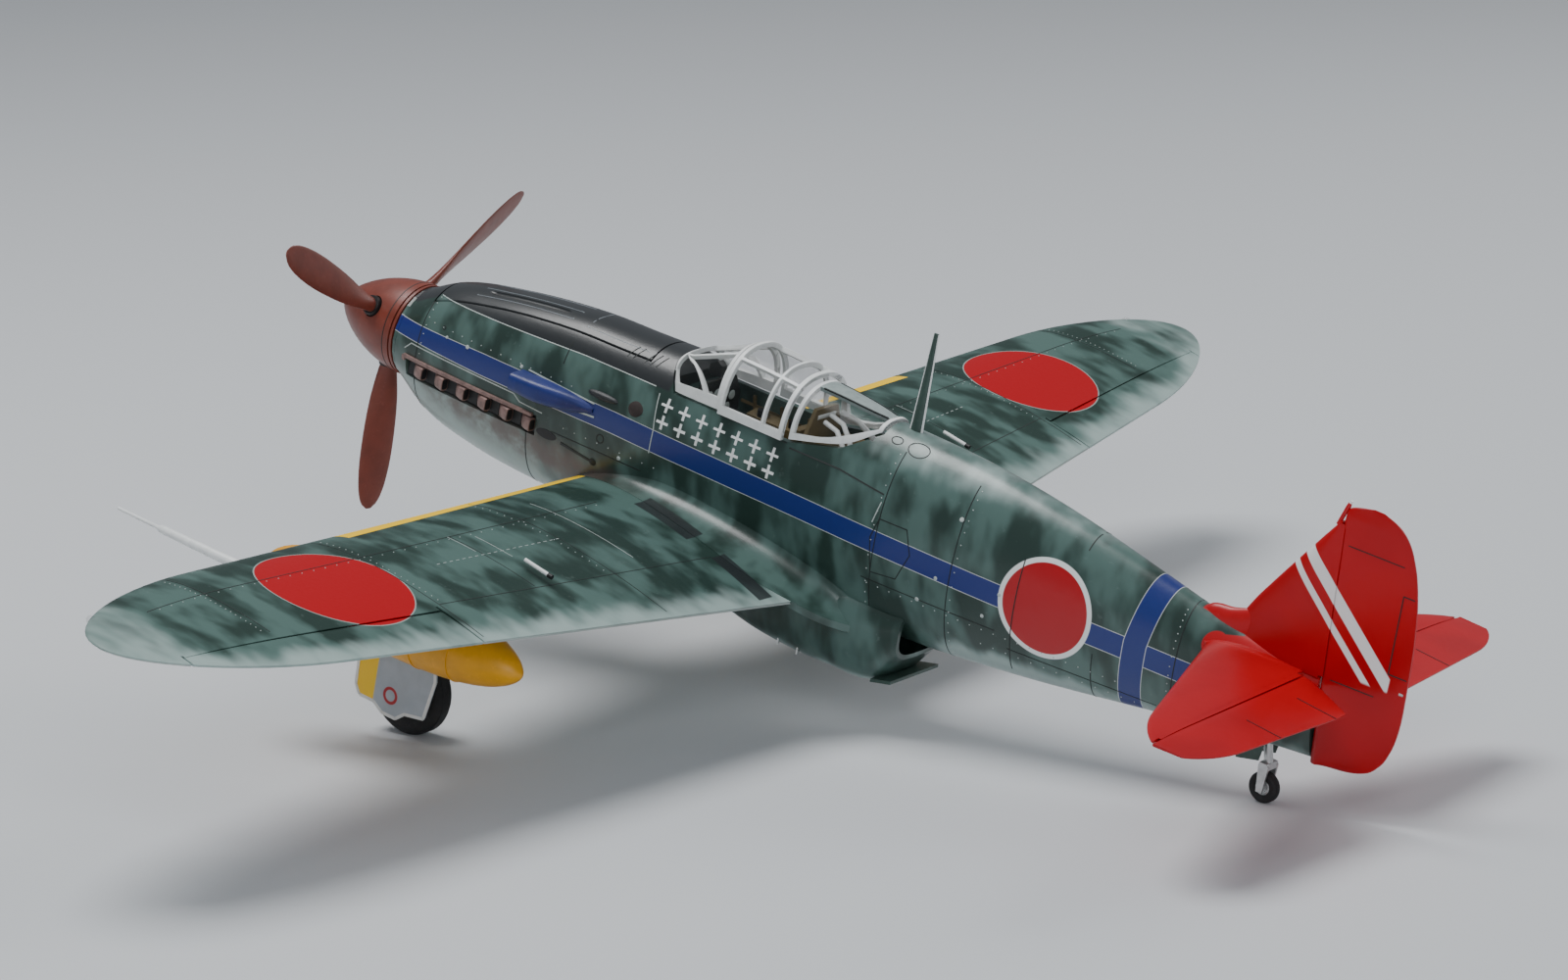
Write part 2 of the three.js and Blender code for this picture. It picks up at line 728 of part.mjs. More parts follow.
function spinner() {
  const shares = [0, 0.03, 0.1, 0.22, 0.38, 0.56, 0.78, 1];
  const profile = shares.map((t) => [spinnerRadius(t), t * SPINNER.length]);
  const body = turned([...profile, [0, SPINNER.length]], at(0, 0, 0), AFT, 24);
  const sockets = [0, 1, 2].map((index) => {
    const out = bladeAxis(index).multiplyScalar(MM);
    const hub = at(PROPELLER.station, 0, 0);
    return bar([
      [hub.clone().addScaledVector(out, PROPELLER.hub), 0.078],
      [hub.clone().addScaledVector(out, 0.4), 0.078],
    ]);
  });
  return cut(body, ...sockets);
}

function blade(index) {
  const out = bladeAxis(index);
  const forward = new THREE.Vector3(1, 0, 0);
  const turning = forward.clone().cross(out);
  const hub = at(PROPELLER.station, 0, 0);
  const sections = BLADE.map(([share, chord, thickness, pitch]) => {
    const centre = hub.clone().addScaledVector(out, share * PROPELLER.radius * MM);
    const alongChord = turning.clone().multiplyScalar(Math.cos(radians(pitch)));
    alongChord.addScaledVector(forward, Math.sin(radians(pitch)));
    const across = out.clone().cross(alongChord);
    return Array.from({ length: 10 }, (_, i) => {
      const angle = (Math.PI * (i + 0.5)) / 5;
      const p = centre.clone().addScaledVector(alongChord, (Math.cos(angle) * chord * MM) / 2);
      return p.addScaledVector(across, (Math.sin(angle) * thickness * MM) / 2);
    });
  });
  return loft(sections);
}

// A strip on the side of the nose: station by station, its outline about the widest line.
function sideStrip(side, [fromS, toS], [lowZ, highZ], depth, proud) {
  const stations = [fromS, (fromS + toS) / 2, toS];
  return loft(
    stations.map((s) => {
      const reach = along(FUSELAGE, s)[0];
      const inner = reach - depth;
      const outer = reach + proud;
      return [
        at(s, side * inner, lowZ),
        at(s, side * outer, lowZ),
        at(s, side * outer, highZ),
        at(s, side * inner, highZ),
      ];
    }),
  );
}

function exhaustStack(side) {
  const strip = sideStrip(side, EXHAUSTS.reach, EXHAUSTS.height, SKIN + 0.02, -0.015);
  const middleZ = (EXHAUSTS.height[0] + EXHAUSTS.height[1]) / 2;
  const stubs = Array.from({ length: EXHAUSTS.count }, (_, i) => {
    const s = lerp(EXHAUSTS.first, EXHAUSTS.last, i / (EXHAUSTS.count - 1));
    const reach = along(FUSELAGE, s)[0];
    return bar(
      [
        [at(s, side * (reach - 0.04), middleZ), EXHAUSTS.radius],
        [at(s + 0.05, side * (reach + 0.05), middleZ), EXHAUSTS.radius],
      ],
      8,
    );
  });
  return joined([strip, ...stubs]);
}
const exhaustSlot = (side) => {
  const [low, high] = EXHAUSTS.height;
  const [from, to] = EXHAUSTS.reach;
  return sideStrip(side, [from - GAP, to + GAP], [low - GAP, high + GAP], 0.15, 0.1);
};

// An air scoop on the port side: open at the front, faired into the skin behind.
function intake() {
  const ring = ([s, reach, low, high], inset) => [
    at(s, 0.3, low + inset),
    at(s, reach - 0.03 - inset, low + inset),
    at(s, reach - inset, low + 0.03 + inset),
    at(s, reach - inset, high - 0.03 - inset),
    at(s, reach - 0.03 - inset, high - inset),
    at(s, 0.3, high - inset),
  ];
  const body = loft(INTAKE.map((row) => ring(row, 0)));
  const mouth = loft([
    ring([INTAKE[0][0] - 0.1, ...INTAKE[0].slice(1)], 0.02),
    ring([INTAKE[0][0] + 0.15, ...INTAKE[0].slice(1)], 0.02),
  ]);
  return cut(body, mouth, fuselageBlock(GAP, 1.5, 3.2));
}

// The panel over the engine, between the shoulders of the nose.
const cowlSpace = (margin) =>
  plateAcross(
    [
      [GUN_COWL.front - margin, GUN_COWL.low - margin],
      [GUN_COWL.rear + margin, GUN_COWL.low - margin],
      [GUN_COWL.rear + margin, 1],
      [GUN_COWL.front - margin, 1],
    ],
    -GUN_COWL.half - margin,
    GUN_COWL.half + margin,
  );
function gunCowl() {
  const [from, to] = [GUN_COWL.front - 0.1, GUN_COWL.rear + 0.1];
  const skin = cut(fuselageBlock(0, from, to), fuselageBlock(-SKIN, from - 0.05, to + 0.05));
  const troughs = [1, -1].map((side) => {
    const [y, half] = [side * GUN_COWL.troughY, GUN_COWL.troughHalf];
    const corners = [
      [GUN_COWL.trough[0], y - half],
      [GUN_COWL.trough[1], y - half],
      [GUN_COWL.trough[1], y + half],
      [GUN_COWL.trough[0], y + half],
    ];
    return plateUp(corners, 0.3, 1);
  });
  return cut(skin.intersect(cowlSpace(0)), ...troughs);
}

// ---- belly ----

function ductRing([s, half, top, bottom], inset) {
  const middle = (top + bottom) / 2;
  const deep = (top - bottom) / 2 - inset;
  return Array.from({ length: 20 }, (_, i) => {
    const angle = (2 * Math.PI * (i + 0.5)) / 20;
    const y = (half - inset) * superPower(Math.cos(angle), 3.2);
    return at(s, y, middle + deep * superPower(Math.sin(angle), 3.2));
  });
}
function radiatorDuct() {
  const body = loft(RADIATOR.body.map((row) => ductRing(row, 0)));
  const channel = loft(RADIATOR.channel.map((row) => ductRing(row, 0)));
  const wings = [1, -1].map((side) => wingBlock(GAP, side, 0, 1));
  return cut(body, fuselageBlock(GAP), ...wings, channel);
}
function radiatorCore() {
  const [from, to] = RADIATOR.core;
  const row = along(RADIATOR.channel, (from + to) / 2);
  return loft([from, to].map((s) => ductRing([s, ...row], GAP)));
}

// The smooth fairing in the corner between the wing and the fuselage.
function wingFillet(side) {
  const rings = FILLET.map(([s, outY, upZ, lowZ]) => {
    const inner = side * 0.2;
    const waist = [lerp(outY, 0.36, 0.62), lerp(lowZ, upZ, 0.38)];
    return [
      at(s, inner, lowZ - 0.1),
      at(s, side * outY, lowZ - 0.1),
      at(s, side * outY, lowZ),
      at(s, side * waist[0], waist[1] - 0.03),
      at(s, side * 0.4, upZ),
      at(s, inner, upZ),
    ];
  });
  const duct = loft(RADIATOR.body.map((row) => ductRing(row, -GAP)));
  return cut(loft(rings), fuselageBlock(GAP), wingBlock(GAP, side, 0, 1.4), duct);
}

// ---- undercarriage ----

function tyre(wheel, sides, phase) {
  const { radius, width, rim } = wheel;
  const corner = radius / Math.cos(Math.PI / sides);
  const half = width / 2;
  const profile = [
    [rim, -half * 0.7],
    [corner * 0.8, -half],
    [corner * 0.95, -half * 0.75],
    [corner, -half * 0.42],
    [corner, half * 0.42],
    [corner * 0.95, half * 0.75],
    [corner * 0.8, half],
    [rim, half * 0.7],
  ];
  return turned(profile.reverse(), at(0, 0, 0), PORT, sides, phase);
}
function hub(wheel, sides) {
  const [outer, half] = [wheel.rim - 0.008, wheel.width / 2];
  const bore = wheel.axle + 0.012;
  const profile = [
    [bore, -half * 0.8],
    [bore, half * 0.8],
    [wheel.axle * 2.2, half * 0.8],
    [outer * 0.85, half * 0.55],
    [outer, half * 0.6],
    [outer, -half * 0.6],
    [outer * 0.85, -half * 0.55],
    [wheel.axle * 2.2, -half * 0.8],
  ];
  return turned(profile, at(0, 0, 0), PORT, sides);
}
const wheelCentre = ({ s, y, z }, side) => at(s, side * y, z);

function gearLeg(side) {
  const { s, y, z, axle, width } = MAIN_WHEEL;
  const outY = side * LEG.y;
  const strut = bar([
    [at(LEG.topS, outY, -0.3), LEG.radius],
    [at(lerp(LEG.topS, s, 0.6), outY, -1.02), LEG.radius],
    [at(lerp(LEG.topS, s, 0.62), outY, -1.04), LEG.radius * 0.7],
    [at(s, outY, z - 0.04), LEG.radius * 0.7],
  ]);
  const pin = bar([
    [at(s, outY, z), axle],
    [at(s, side * (y - width / 2 - 0.02), z), axle],
  ]);
  return cut(joined([strut, pin]), wingBlock(GAP, side, 1.6, 2.8));
}

const gearCover = (side) => plateAcross(GEAR_COVER, side * LEG.coverY, side * (LEG.coverY + 0.026));

// A thin closed door under the wing's root, between two ribs.
function innerDoor(side) {
  return loft(
    INNER_DOOR.ribs.map((y) => {
      const shares = [0, 0.33, 0.67, 1].map((t) => lerp(...INNER_DOOR.chord, t));
      const upper = shares.map((x) => surfacePoint(WING, side, y, x, -1, -GAP));
      const lower = shares.map((x) => surfacePoint(WING, side, y, x, -1, -GAP - 0.024));
      return [...upper, ...lower.reverse()];
    }),
  );
}

function tailwheelLeg() {
  const { s, z, axle, width } = TAIL_WHEEL;
  const { top, front, rear, end, width: armWidth, clear } = TAIL_FORK;
  const armY = width / 2 + clear;
  const armOutline = [
    [s - front, top],
    [s + rear, top],
    [s + end, z - end],
    [s - end, z - end],
  ];
  const arms = [1, -1].map((side) =>
    plateAcross(armOutline, side * armY, side * (armY + armWidth)),
  );
  const crownOutline = [
    [s - front, top - 0.025],
    [s + rear, top - 0.025],
    [s + rear - 0.01, top + 0.015],
    [s - front + 0.005, top + 0.015],
  ];
  const crown = plateAcross(crownOutline, -armY - armWidth, armY + armWidth);
  const post = bar(
    [TAIL_POST.from, TAIL_POST.to].map(([ahead, up]) => [at(s - ahead, 0, up), TAIL_POST.radius]),
  );
  const pin = bar(
    [-1, 1].map((way) => [at(s, way * (armY + 0.01), z), axle]),
    8,
  );
  return cut(joined([...arms, crown, post, pin]), fuselageBlock(GAP, 7.4, TAIL_END));
}

// ---- stores and small parts ----

function dropTank(side) {
  const [front, rear] = TANK.s;
  const length = rear - front;
  const { widest } = TANK;
  const nose = (t) => Math.sqrt(1 - (1 - t / widest) ** 2);
  const tail = (t) => (1 - ((t - widest) / (1 - widest)) ** 3.4) ** 0.6;
  const shares = [0.012, 0.05, 0.13, 0.25, widest, 0.6, 0.76, 0.88, 0.95, 0.985];
  const skin = shares.map((t) => [TANK.radius * (t < widest ? nose(t) : tail(t)), t * length]);
  const profile = [[0, 0], ...skin, [0, length]];
  const centre = at(front, side * TANK.y, TANK.z);
  return turned(profile, centre, AFT, TANK.sides, Math.PI / TANK.sides);
}

function tankPylon(side) {
  const bottom = TANK.z + TANK.radius + 0.004;
  const { top, bottom: foot, bevel, half } = PYLON;
  const outline = [
    [top[0], -0.3],
    [bevel[0], bottom + 0.04],
    [foot[0], bottom],
    [foot[1], bottom],
    [bevel[1], bottom + 0.04],
    [top[1], -0.3],
  ];
  const y = side * TANK.y;
  const plate = plateAcross(outline, y - half, y + half);
  return cut(plate, wingBlock(GAP, side, 2.2, 2.8));
}

function probe() {
  const { y, foot, step, tip } = PROBE;
  const z = surfaceZ(WING, y, 0, 0);
  return bar(
    [
      [at(tip, y, z), 0.01],
      [at(step, y, z), 0.012],
      [at(step + 0.03, y, z), 0.024],
      [at(foot, y, z), 0.028],
    ],
    8,
  );
}

function gearIndicator(side) {
  const { y, chord, foot, tip, radius } = INDICATOR;
  const z = surfaceZ(WING, y, chord, 1);
  return bar(
    [foot, tip].map(([s, up]) => [at(s, side * y, z + up), radius]),
    8,
  );
}

function mast() {
  const { base, top, foot, head } = MAST;
  const ring = ([s, z], length, half) => [
    at(s - length, 0, z),
    at(s, half, z),
    at(s + length, 0, z),
    at(s, -half, z),
  ];
  const body = loft([ring(base, ...foot), ring(top, ...head)]);
  return cut(body, fuselageBlock(GAP, 4.5, 5.4));
}

// ---- cockpit ----

const seat = () => plateAcross(SEAT, -0.2, 0.2);
// A level board that narrows from its front edge to its rear edge.
function board([front, rear], [frontHalf, rearHalf], low, high) {
  const outline = [
    [front, frontHalf],
    [rear, rearHalf],
    [rear, -rearHalf],
    [front, -frontHalf],
  ];
  return plateUp(outline, low, high);
}
const floor = () => board(FLOOR.s, FLOOR.half, FLOOR_Z - FLOOR.thickness, FLOOR_Z);
const rearDeck = () => board(REAR_DECK.s, REAR_DECK.half, ...REAR_DECK.z);
const mirrored = (half) => [...half, ...half.map(([y, z]) => [-y, z]).reverse()];
const armour = () => plateAlong(mirrored(ARMOUR), 4.195, 4.225);
const instrumentPanel = () => plateAlong(mirrored(PANEL), 3.3, 3.33);
const stick = () => {
  const [[foot, , radius]] = STICK;
  const stops = STICK.map(([s, z, r]) => [at(s, 0, z), r]);
  return bar([[at(foot, 0, FLOOR_Z + GAP), radius], ...stops]);
};
const gunsight = () => plateAcross(GUNSIGHT, -0.03, 0.03);

// ---- the assembly ----

const level = new THREE.Group(); // the aeroplane with its thrust line level

function place(name, solid, material, parent = level) {
  const mesh = new THREE.Mesh(toGeometry(solid), material);
  mesh.name = name;
  parent.add(mesh);
  return mesh;
}

// The nose-up angle that brings the main and the tail wheels on one floor.
const rise = TAIL_WHEEL.z - MAIN_WHEEL.z;
const reach = TAIL_WHEEL.s - MAIN_WHEEL.s;
const between = Math.hypot(rise, reach);
const tyreStep = MAIN_WHEEL.radius - TAIL_WHEEL.radius;
const STANCE = Math.atan2(rise, reach) + Math.asin(tyreStep / between);

const { s: bellyS, half: bellyHalf, z: bellyZ } = BELLY_OPENING;
const bellySpace = board(bellyS, [bellyHalf, bellyHalf], ...bellyZ);
const hole = plateAcross(COCKPIT_HOLE, -1, 1);

for (const [word, side] of Object.entries(SIDES)) {
  const wing = wingBlock(GAP, side, 0, 1);
  const openings = [wing, bellySpace, hole, cowlSpace(GAP), exhaustSlot(side)];
  place(`fuselage_${word}`, cut(fuselageShell(side), ...openings), GREEN);
  const upper = cut(wingUpper(side), fuselageBlock(GAP, 2.2, 5.2), aileronSpace(side));
  place(`wing_upper_${word}`, upper, GREEN);
  place(`aileron_${word}`, aileron(side), GREEN);
  place(`wing_fillet_${word}`, wingFillet(side), GREEN);
  place(`tailplane_${word}`, cut(tailplane(side), fuselageBlock(GAP, 7, TAIL_END)), RED);
  place(`elevator_${word}`, elevator(side), RED);
  place(`exhaust_stack_${word}`, exhaustStack(side), EXHAUST);
  place(`drop_tank_${word}`, dropTank(side), YELLOW);
  place(`tank_pylon_${word}`, tankPylon(side), GREY);
  place(`gear_leg_${word}`, gearLeg(side), STEEL);
  place(`gear_cover_${word}`, gearCover(side), GREY);
  place(`inner_gear_door_${word}`, innerDoor(side), GREY);
  place(`gear_indicator_${word}`, gearIndicator(side), SILVER);

  const wheel = new THREE.Group();
  wheel.position.copy(wheelCentre(MAIN_WHEEL, side));
  const phase = Math.PI / TYRE_SIDES + STANCE;
  place(`main_tyre_${word}`, tyre(MAIN_WHEEL, TYRE_SIDES, phase), RUBBER, wheel);
  place(`main_hub_${word}`, hub(MAIN_WHEEL, TYRE_SIDES), SILVER, wheel);
  level.add(wheel);
}

const lower = cut(wingLower(), aileronSpace(1), aileronSpace(-1));
place("wing_lower", lower, GREY);
place("gun_cowl", gunCowl(), CHARCOAL);
place("fin", cut(fin(), fuselageBlock(GAP, 7, TAIL_END)), RED);
place("rudder", rudder(), RED);
place("supercharger_intake", intake(), BLUE);
place("radiator_duct", radiatorDuct(), GREEN);
place("radiator_core", radiatorCore(), CHARCOAL);
place("windscreen", windscreen(), CLEAR);
place("sliding_canopy", slidingCanopy(), CLEAR);
place("rear_canopy", rearCanopy(), CLEAR);
place("cockpit_floor", floor(), INTERIOR);
place("seat", seat(), INTERIOR);
place("rear_deck", rearDeck(), INTERIOR);
place("headrest_armour", armour(), INTERIOR);
place("instrument_panel", instrumentPanel(), CHARCOAL);
place("control_stick", stick(), CHARCOAL);
place("gunsight", gunsight(), CHARCOAL);
place("antenna_mast", mast(), GREEN);
place("air_probe", probe(), SILVER);
place("tailwheel_leg", tailwheelLeg(), SILVER);

const tailWheel = new THREE.Group();
tailWheel.position.copy(wheelCentre(TAIL_WHEEL, 1));
const tailPhase = Math.PI / TAIL_TYRE_SIDES + STANCE;
place("tail_tyre", tyre(TAIL_WHEEL, TAIL_TYRE_SIDES, tailPhase), RUBBER, tailWheel);
place("tail_hub", hub(TAIL_WHEEL, TAIL_TYRE_SIDES), SILVER, tailWheel);
level.add(tailWheel);

const ringProfile = (inner, outer, from, to) => [
  [inner, from],
  [outer, from],
  [outer, to],
  [inner, to],
];
const { plateEnd, bore, radius: spinnerEdge } = SPINNER;
const plateProfile = ringProfile(bore, spinnerEdge, SPINNER.length + GAP, plateEnd);
place("spinner", spinner(), BROWN);
place("spinner_backplate", turned(plateProfile, at(0, 0, 0), AFT, 24), BROWN);
const frontProfile = ringProfile(0.09, spinnerEdge, plateEnd + GAP, NOSE - GAP / 2);
place("cowl_front_ring", turned(frontProfile, at(0, 0, 0), AFT, 24), GREEN);
const bearingProfile = ringProfile(0.068, 0.14, NOSE + GAP / 2, 1.05);
place("propeller_bearing", turned(bearingProfile, at(0, 0, 0), AFT, 16), STEEL);
const shaftLine = [at(SPINNER.length + GAP, 0, 0), at(1.1, 0, 0)];
place("propeller_shaft", bar(shaftLine.map((p) => [p, 0.05])), STEEL);
for (let i = 0; i < PROPELLER.blades; i += 1) place(`propeller_blade_${i + 1}`, blade(i), BROWN);

// Tip the aeroplane onto its wheels, with the origin under the middle of its box.
level.rotation.y = -STANCE;
const plane = new THREE.Group();
plane.add(level);
plane.updateMatrixWorld(true);
const box = new THREE.Box3().setFromObject(plane, true);
const middle = box.getCenter(new THREE.Vector3());
level.position.set(-middle.x, -middle.y, -box.min.z);

export default plane;
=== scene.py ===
"""Looks of a 1:48 propeller plane model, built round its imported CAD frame.

Like the CAD source, it is drawn in full-size metres and scaled once, in at(): s is how far
aft of the spinner's tip, y how far to port, and z how far above the thrust line.
"""

import json
import math

import bmesh
import bpy
from mathutils import Matrix, Vector


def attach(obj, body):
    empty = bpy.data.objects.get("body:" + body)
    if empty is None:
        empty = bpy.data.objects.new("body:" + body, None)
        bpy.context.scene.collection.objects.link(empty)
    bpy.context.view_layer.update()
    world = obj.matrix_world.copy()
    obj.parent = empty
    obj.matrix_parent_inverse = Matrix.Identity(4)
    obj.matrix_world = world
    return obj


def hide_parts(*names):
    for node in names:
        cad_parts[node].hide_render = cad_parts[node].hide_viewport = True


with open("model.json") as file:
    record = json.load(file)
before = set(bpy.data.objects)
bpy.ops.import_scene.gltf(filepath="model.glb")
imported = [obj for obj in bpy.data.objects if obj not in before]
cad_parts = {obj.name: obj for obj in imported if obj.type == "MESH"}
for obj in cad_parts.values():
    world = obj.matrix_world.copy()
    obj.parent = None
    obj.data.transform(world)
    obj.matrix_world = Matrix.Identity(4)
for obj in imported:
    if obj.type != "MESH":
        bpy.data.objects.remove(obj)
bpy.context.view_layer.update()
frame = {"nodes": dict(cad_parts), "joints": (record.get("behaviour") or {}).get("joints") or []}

# ---- the level frame, from the propeller's joint ----

SCALE = 1 / 48
HUB_STATION = 0.47
spin = next(j for j in frame["joints"] if j["name"] == "propeller_spin")
FORWARD = Vector(spin["axis"]).normalized()
UPWARD = Vector((-FORWARD.z, 0, FORWARD.x))
PORT = Vector((0, 1, 0))
SPINNER_TIP = Vector(spin["pos_m"]) + FORWARD * HUB_STATION * SCALE
BOTH_SIDES = {"left": 1, "right": -1}


def at(s, y, z):
    """A point of the level aeroplane, in the row frame."""
    return SPINNER_TIP + (PORT * y + UPWARD * z - FORWARD * s) * SCALE


def lerp(a, b, t):
    return a + (b - a) * t


def spread(low, high, count):
    """Evenly spaced numbers from low to high, both included."""
    return [lerp(low, high, i / (count - 1)) for i in range(count)]


def smooth(t):
    t = min(1, max(0, t))
    return t * t * (3 - 2 * t)


def slope(a, b, k):
    """How fast the number in column k changes between two rows of a table."""
    return (b[k] - a[k]) / (b[0] - a[0])


def circle_turns(count):
    """Evenly spaced angles, once round."""
    return [2 * math.pi * i / count for i in range(count)]


def along(table, position):
    """Reads a table of (position, values...) on a smooth curve through its rows."""
    last = len(table) - 1
    i = 0
    while i < last - 1 and position > table[i + 1][0]:
        i += 1
    a, b = table[i], table[i + 1]
    span = b[0] - a[0]
    t = min(1, max(0, (position - a[0]) / span))
    values = []
    for k in range(1, len(a)):
        here = slope(a, b, k)
        before = (slope(table[i - 1], a, k) + here) / 2 if i > 0 else here
        after = (slope(b, table[i + 2], k) + here) / 2 if i + 2 <= last else here
        values.append(
            a[k] * (2 * t**3 - 3 * t**2 + 1)
            + b[k] * (3 * t**2 - 2 * t**3)
            + span * (before * (t**3 - 2 * t**2 + t) + after * (t**3 - t**2))
        )
    return values


# ---- camera, floor and light ----

CAMERA_AT = (21.514, 26.678, 11.806)  # s, y, z
CAMERA_TARGET = (4.4946, 0.7532, 0.3279)
CAMERA_ROLL = 0.188
LENS_RATIO = 5135.05 / 1600  # focal length over frame width


def make_camera():
    eye, target = at(*CAMERA_AT), at(*CAMERA_TARGET)
    look = (target - eye).normalized()
    right = look.cross(UPWARD).normalized()
    up = right.cross(look)
    turn = math.cos(CAMERA_ROLL), math.sin(CAMERA_ROLL)
    right, up = right * turn[0] + up * turn[1], up * turn[0] - right * turn[1]
    data = bpy.data.cameras.new("camera")
    data.sensor_width = 36
    data.lens = LENS_RATIO * data.sensor_width
    data.clip_start = 0.01
    camera = bpy.data.objects.new("camera", data)
    camera.matrix_world = Matrix.Translation(eye) @ Matrix((right, up, -look)).transposed().to_4x4()
    bpy.context.scene.collection.objects.link(camera)
    bpy.context.scene.camera = camera


def area_light(name, place, aim, size, watts, colour=(1, 1, 1)):
    data = bpy.data.lights.new(name, "AREA")
    data.shape = "DISK"
    data.size = size
    data.energy = watts
    data.color = colour
    light = bpy.data.objects.new(name, data)
    light.location = place
    light.rotation_euler = (Vector(aim) - Vector(place)).to_track_quat("-Z", "Y").to_euler()
    bpy.context.scene.collection.objects.link(light)


def make_stage():
    mesh = bpy.data.meshes.new("floor")
    half = 3
    corners = [(-half, -half, 0), (half, -half, 0), (half, half, 0), (-half, half, 0)]
    mesh.from_pydata(corners, [], [(0, 1, 2, 3)])
    floor = bpy.data.objects.new("floor", mesh)
    bpy.context.scene.collection.objects.link(floor)
    material = bpy.data.materials.new("floor_pale")
    material.use_nodes = True
    shader = material.node_tree.nodes["Principled BSDF"]
    shader.inputs["Base Color"].default_value = (0.62, 0.64, 0.66, 1)
    shader.inputs["Roughness"].default_value = 0.55
    mesh.materials.append(material)
    world = bpy.data.worlds.new("studio")
    world.use_nodes = True
    sky = world.node_tree.nodes["Background"]
    sky.inputs["Color"].default_value = (0.72, 0.77, 0.84, 1)
    sky.inputs["Strength"].default_value = 0.3
    bpy.context.scene.world = world
    area_light("key", (0.22, 0.05, 0.75), (0, 0, 0.02), 0.45, 5.3)
    area_light("fill", (-0.6, 0.65, 0.42), (0, 0, 0.03), 0.6, 3.6, (0.94, 0.97, 1))
    area_light("rim", (-0.2, -0.8, 0.45), (0, 0, 0.03), 0.4, 2.2)


# ---- shader arithmetic ----


class Val:
    """A number worked out by shader nodes, for use in ordinary sums."""

    def __init__(self, tree, socket):
        self.tree = tree
        self.socket = socket

    def op(self, operation, *others, first=None):
        node = self.tree.nodes.new("ShaderNodeMath")
        node.operation = operation
        operands = (self, *others) if first is None else (first, self)
        for slot_, value in zip(node.inputs, operands):
            if isinstance(value, Val):
                self.tree.links.new(value.socket, slot_)
            else:
                slot_.default_value = value
        return Val(self.tree, node.outputs[0])

    def __add__(self, other):
        return self.op("ADD", other)

    def __sub__(self, other):
        return self.op("SUBTRACT", other)

    def __rsub__(self, other):
        return self.op("SUBTRACT", first=other)

    def __mul__(self, other):
        return self.op("MULTIPLY", other)

    __radd__ = __add__
    __rmul__ = __mul__

    def abs(self):
        return self.op("ABSOLUTE")

    def max(self, other):
        return self.op("MAXIMUM", other)

    def min(self, other):
        return self.op("MINIMUM", other)

    def above(self, level, soft=0.004):
        """1 where the number is over the level, 0 where it is under, with a soft edge."""
        node = self.tree.nodes.new("ShaderNodeMapRange")
        node.interpolation_type = "SMOOTHSTEP"
        self.tree.links.new(self.socket, node.inputs["Value"])
        if isinstance(level, Val):
            return (self - level).above(0, soft)
        node.inputs["From Min"].default_value = level - soft
        node.inputs["From Max"].default_value = level + soft
        return Val(self.tree, node.outputs["Result"])

    def within(self, low, high, soft=0.004):
        return self.above(low, soft) * (1 - self.above(high, soft))


GRAIN_MM = 0.35
GRAIN_DEPTH = 0.0002  # metres on the model


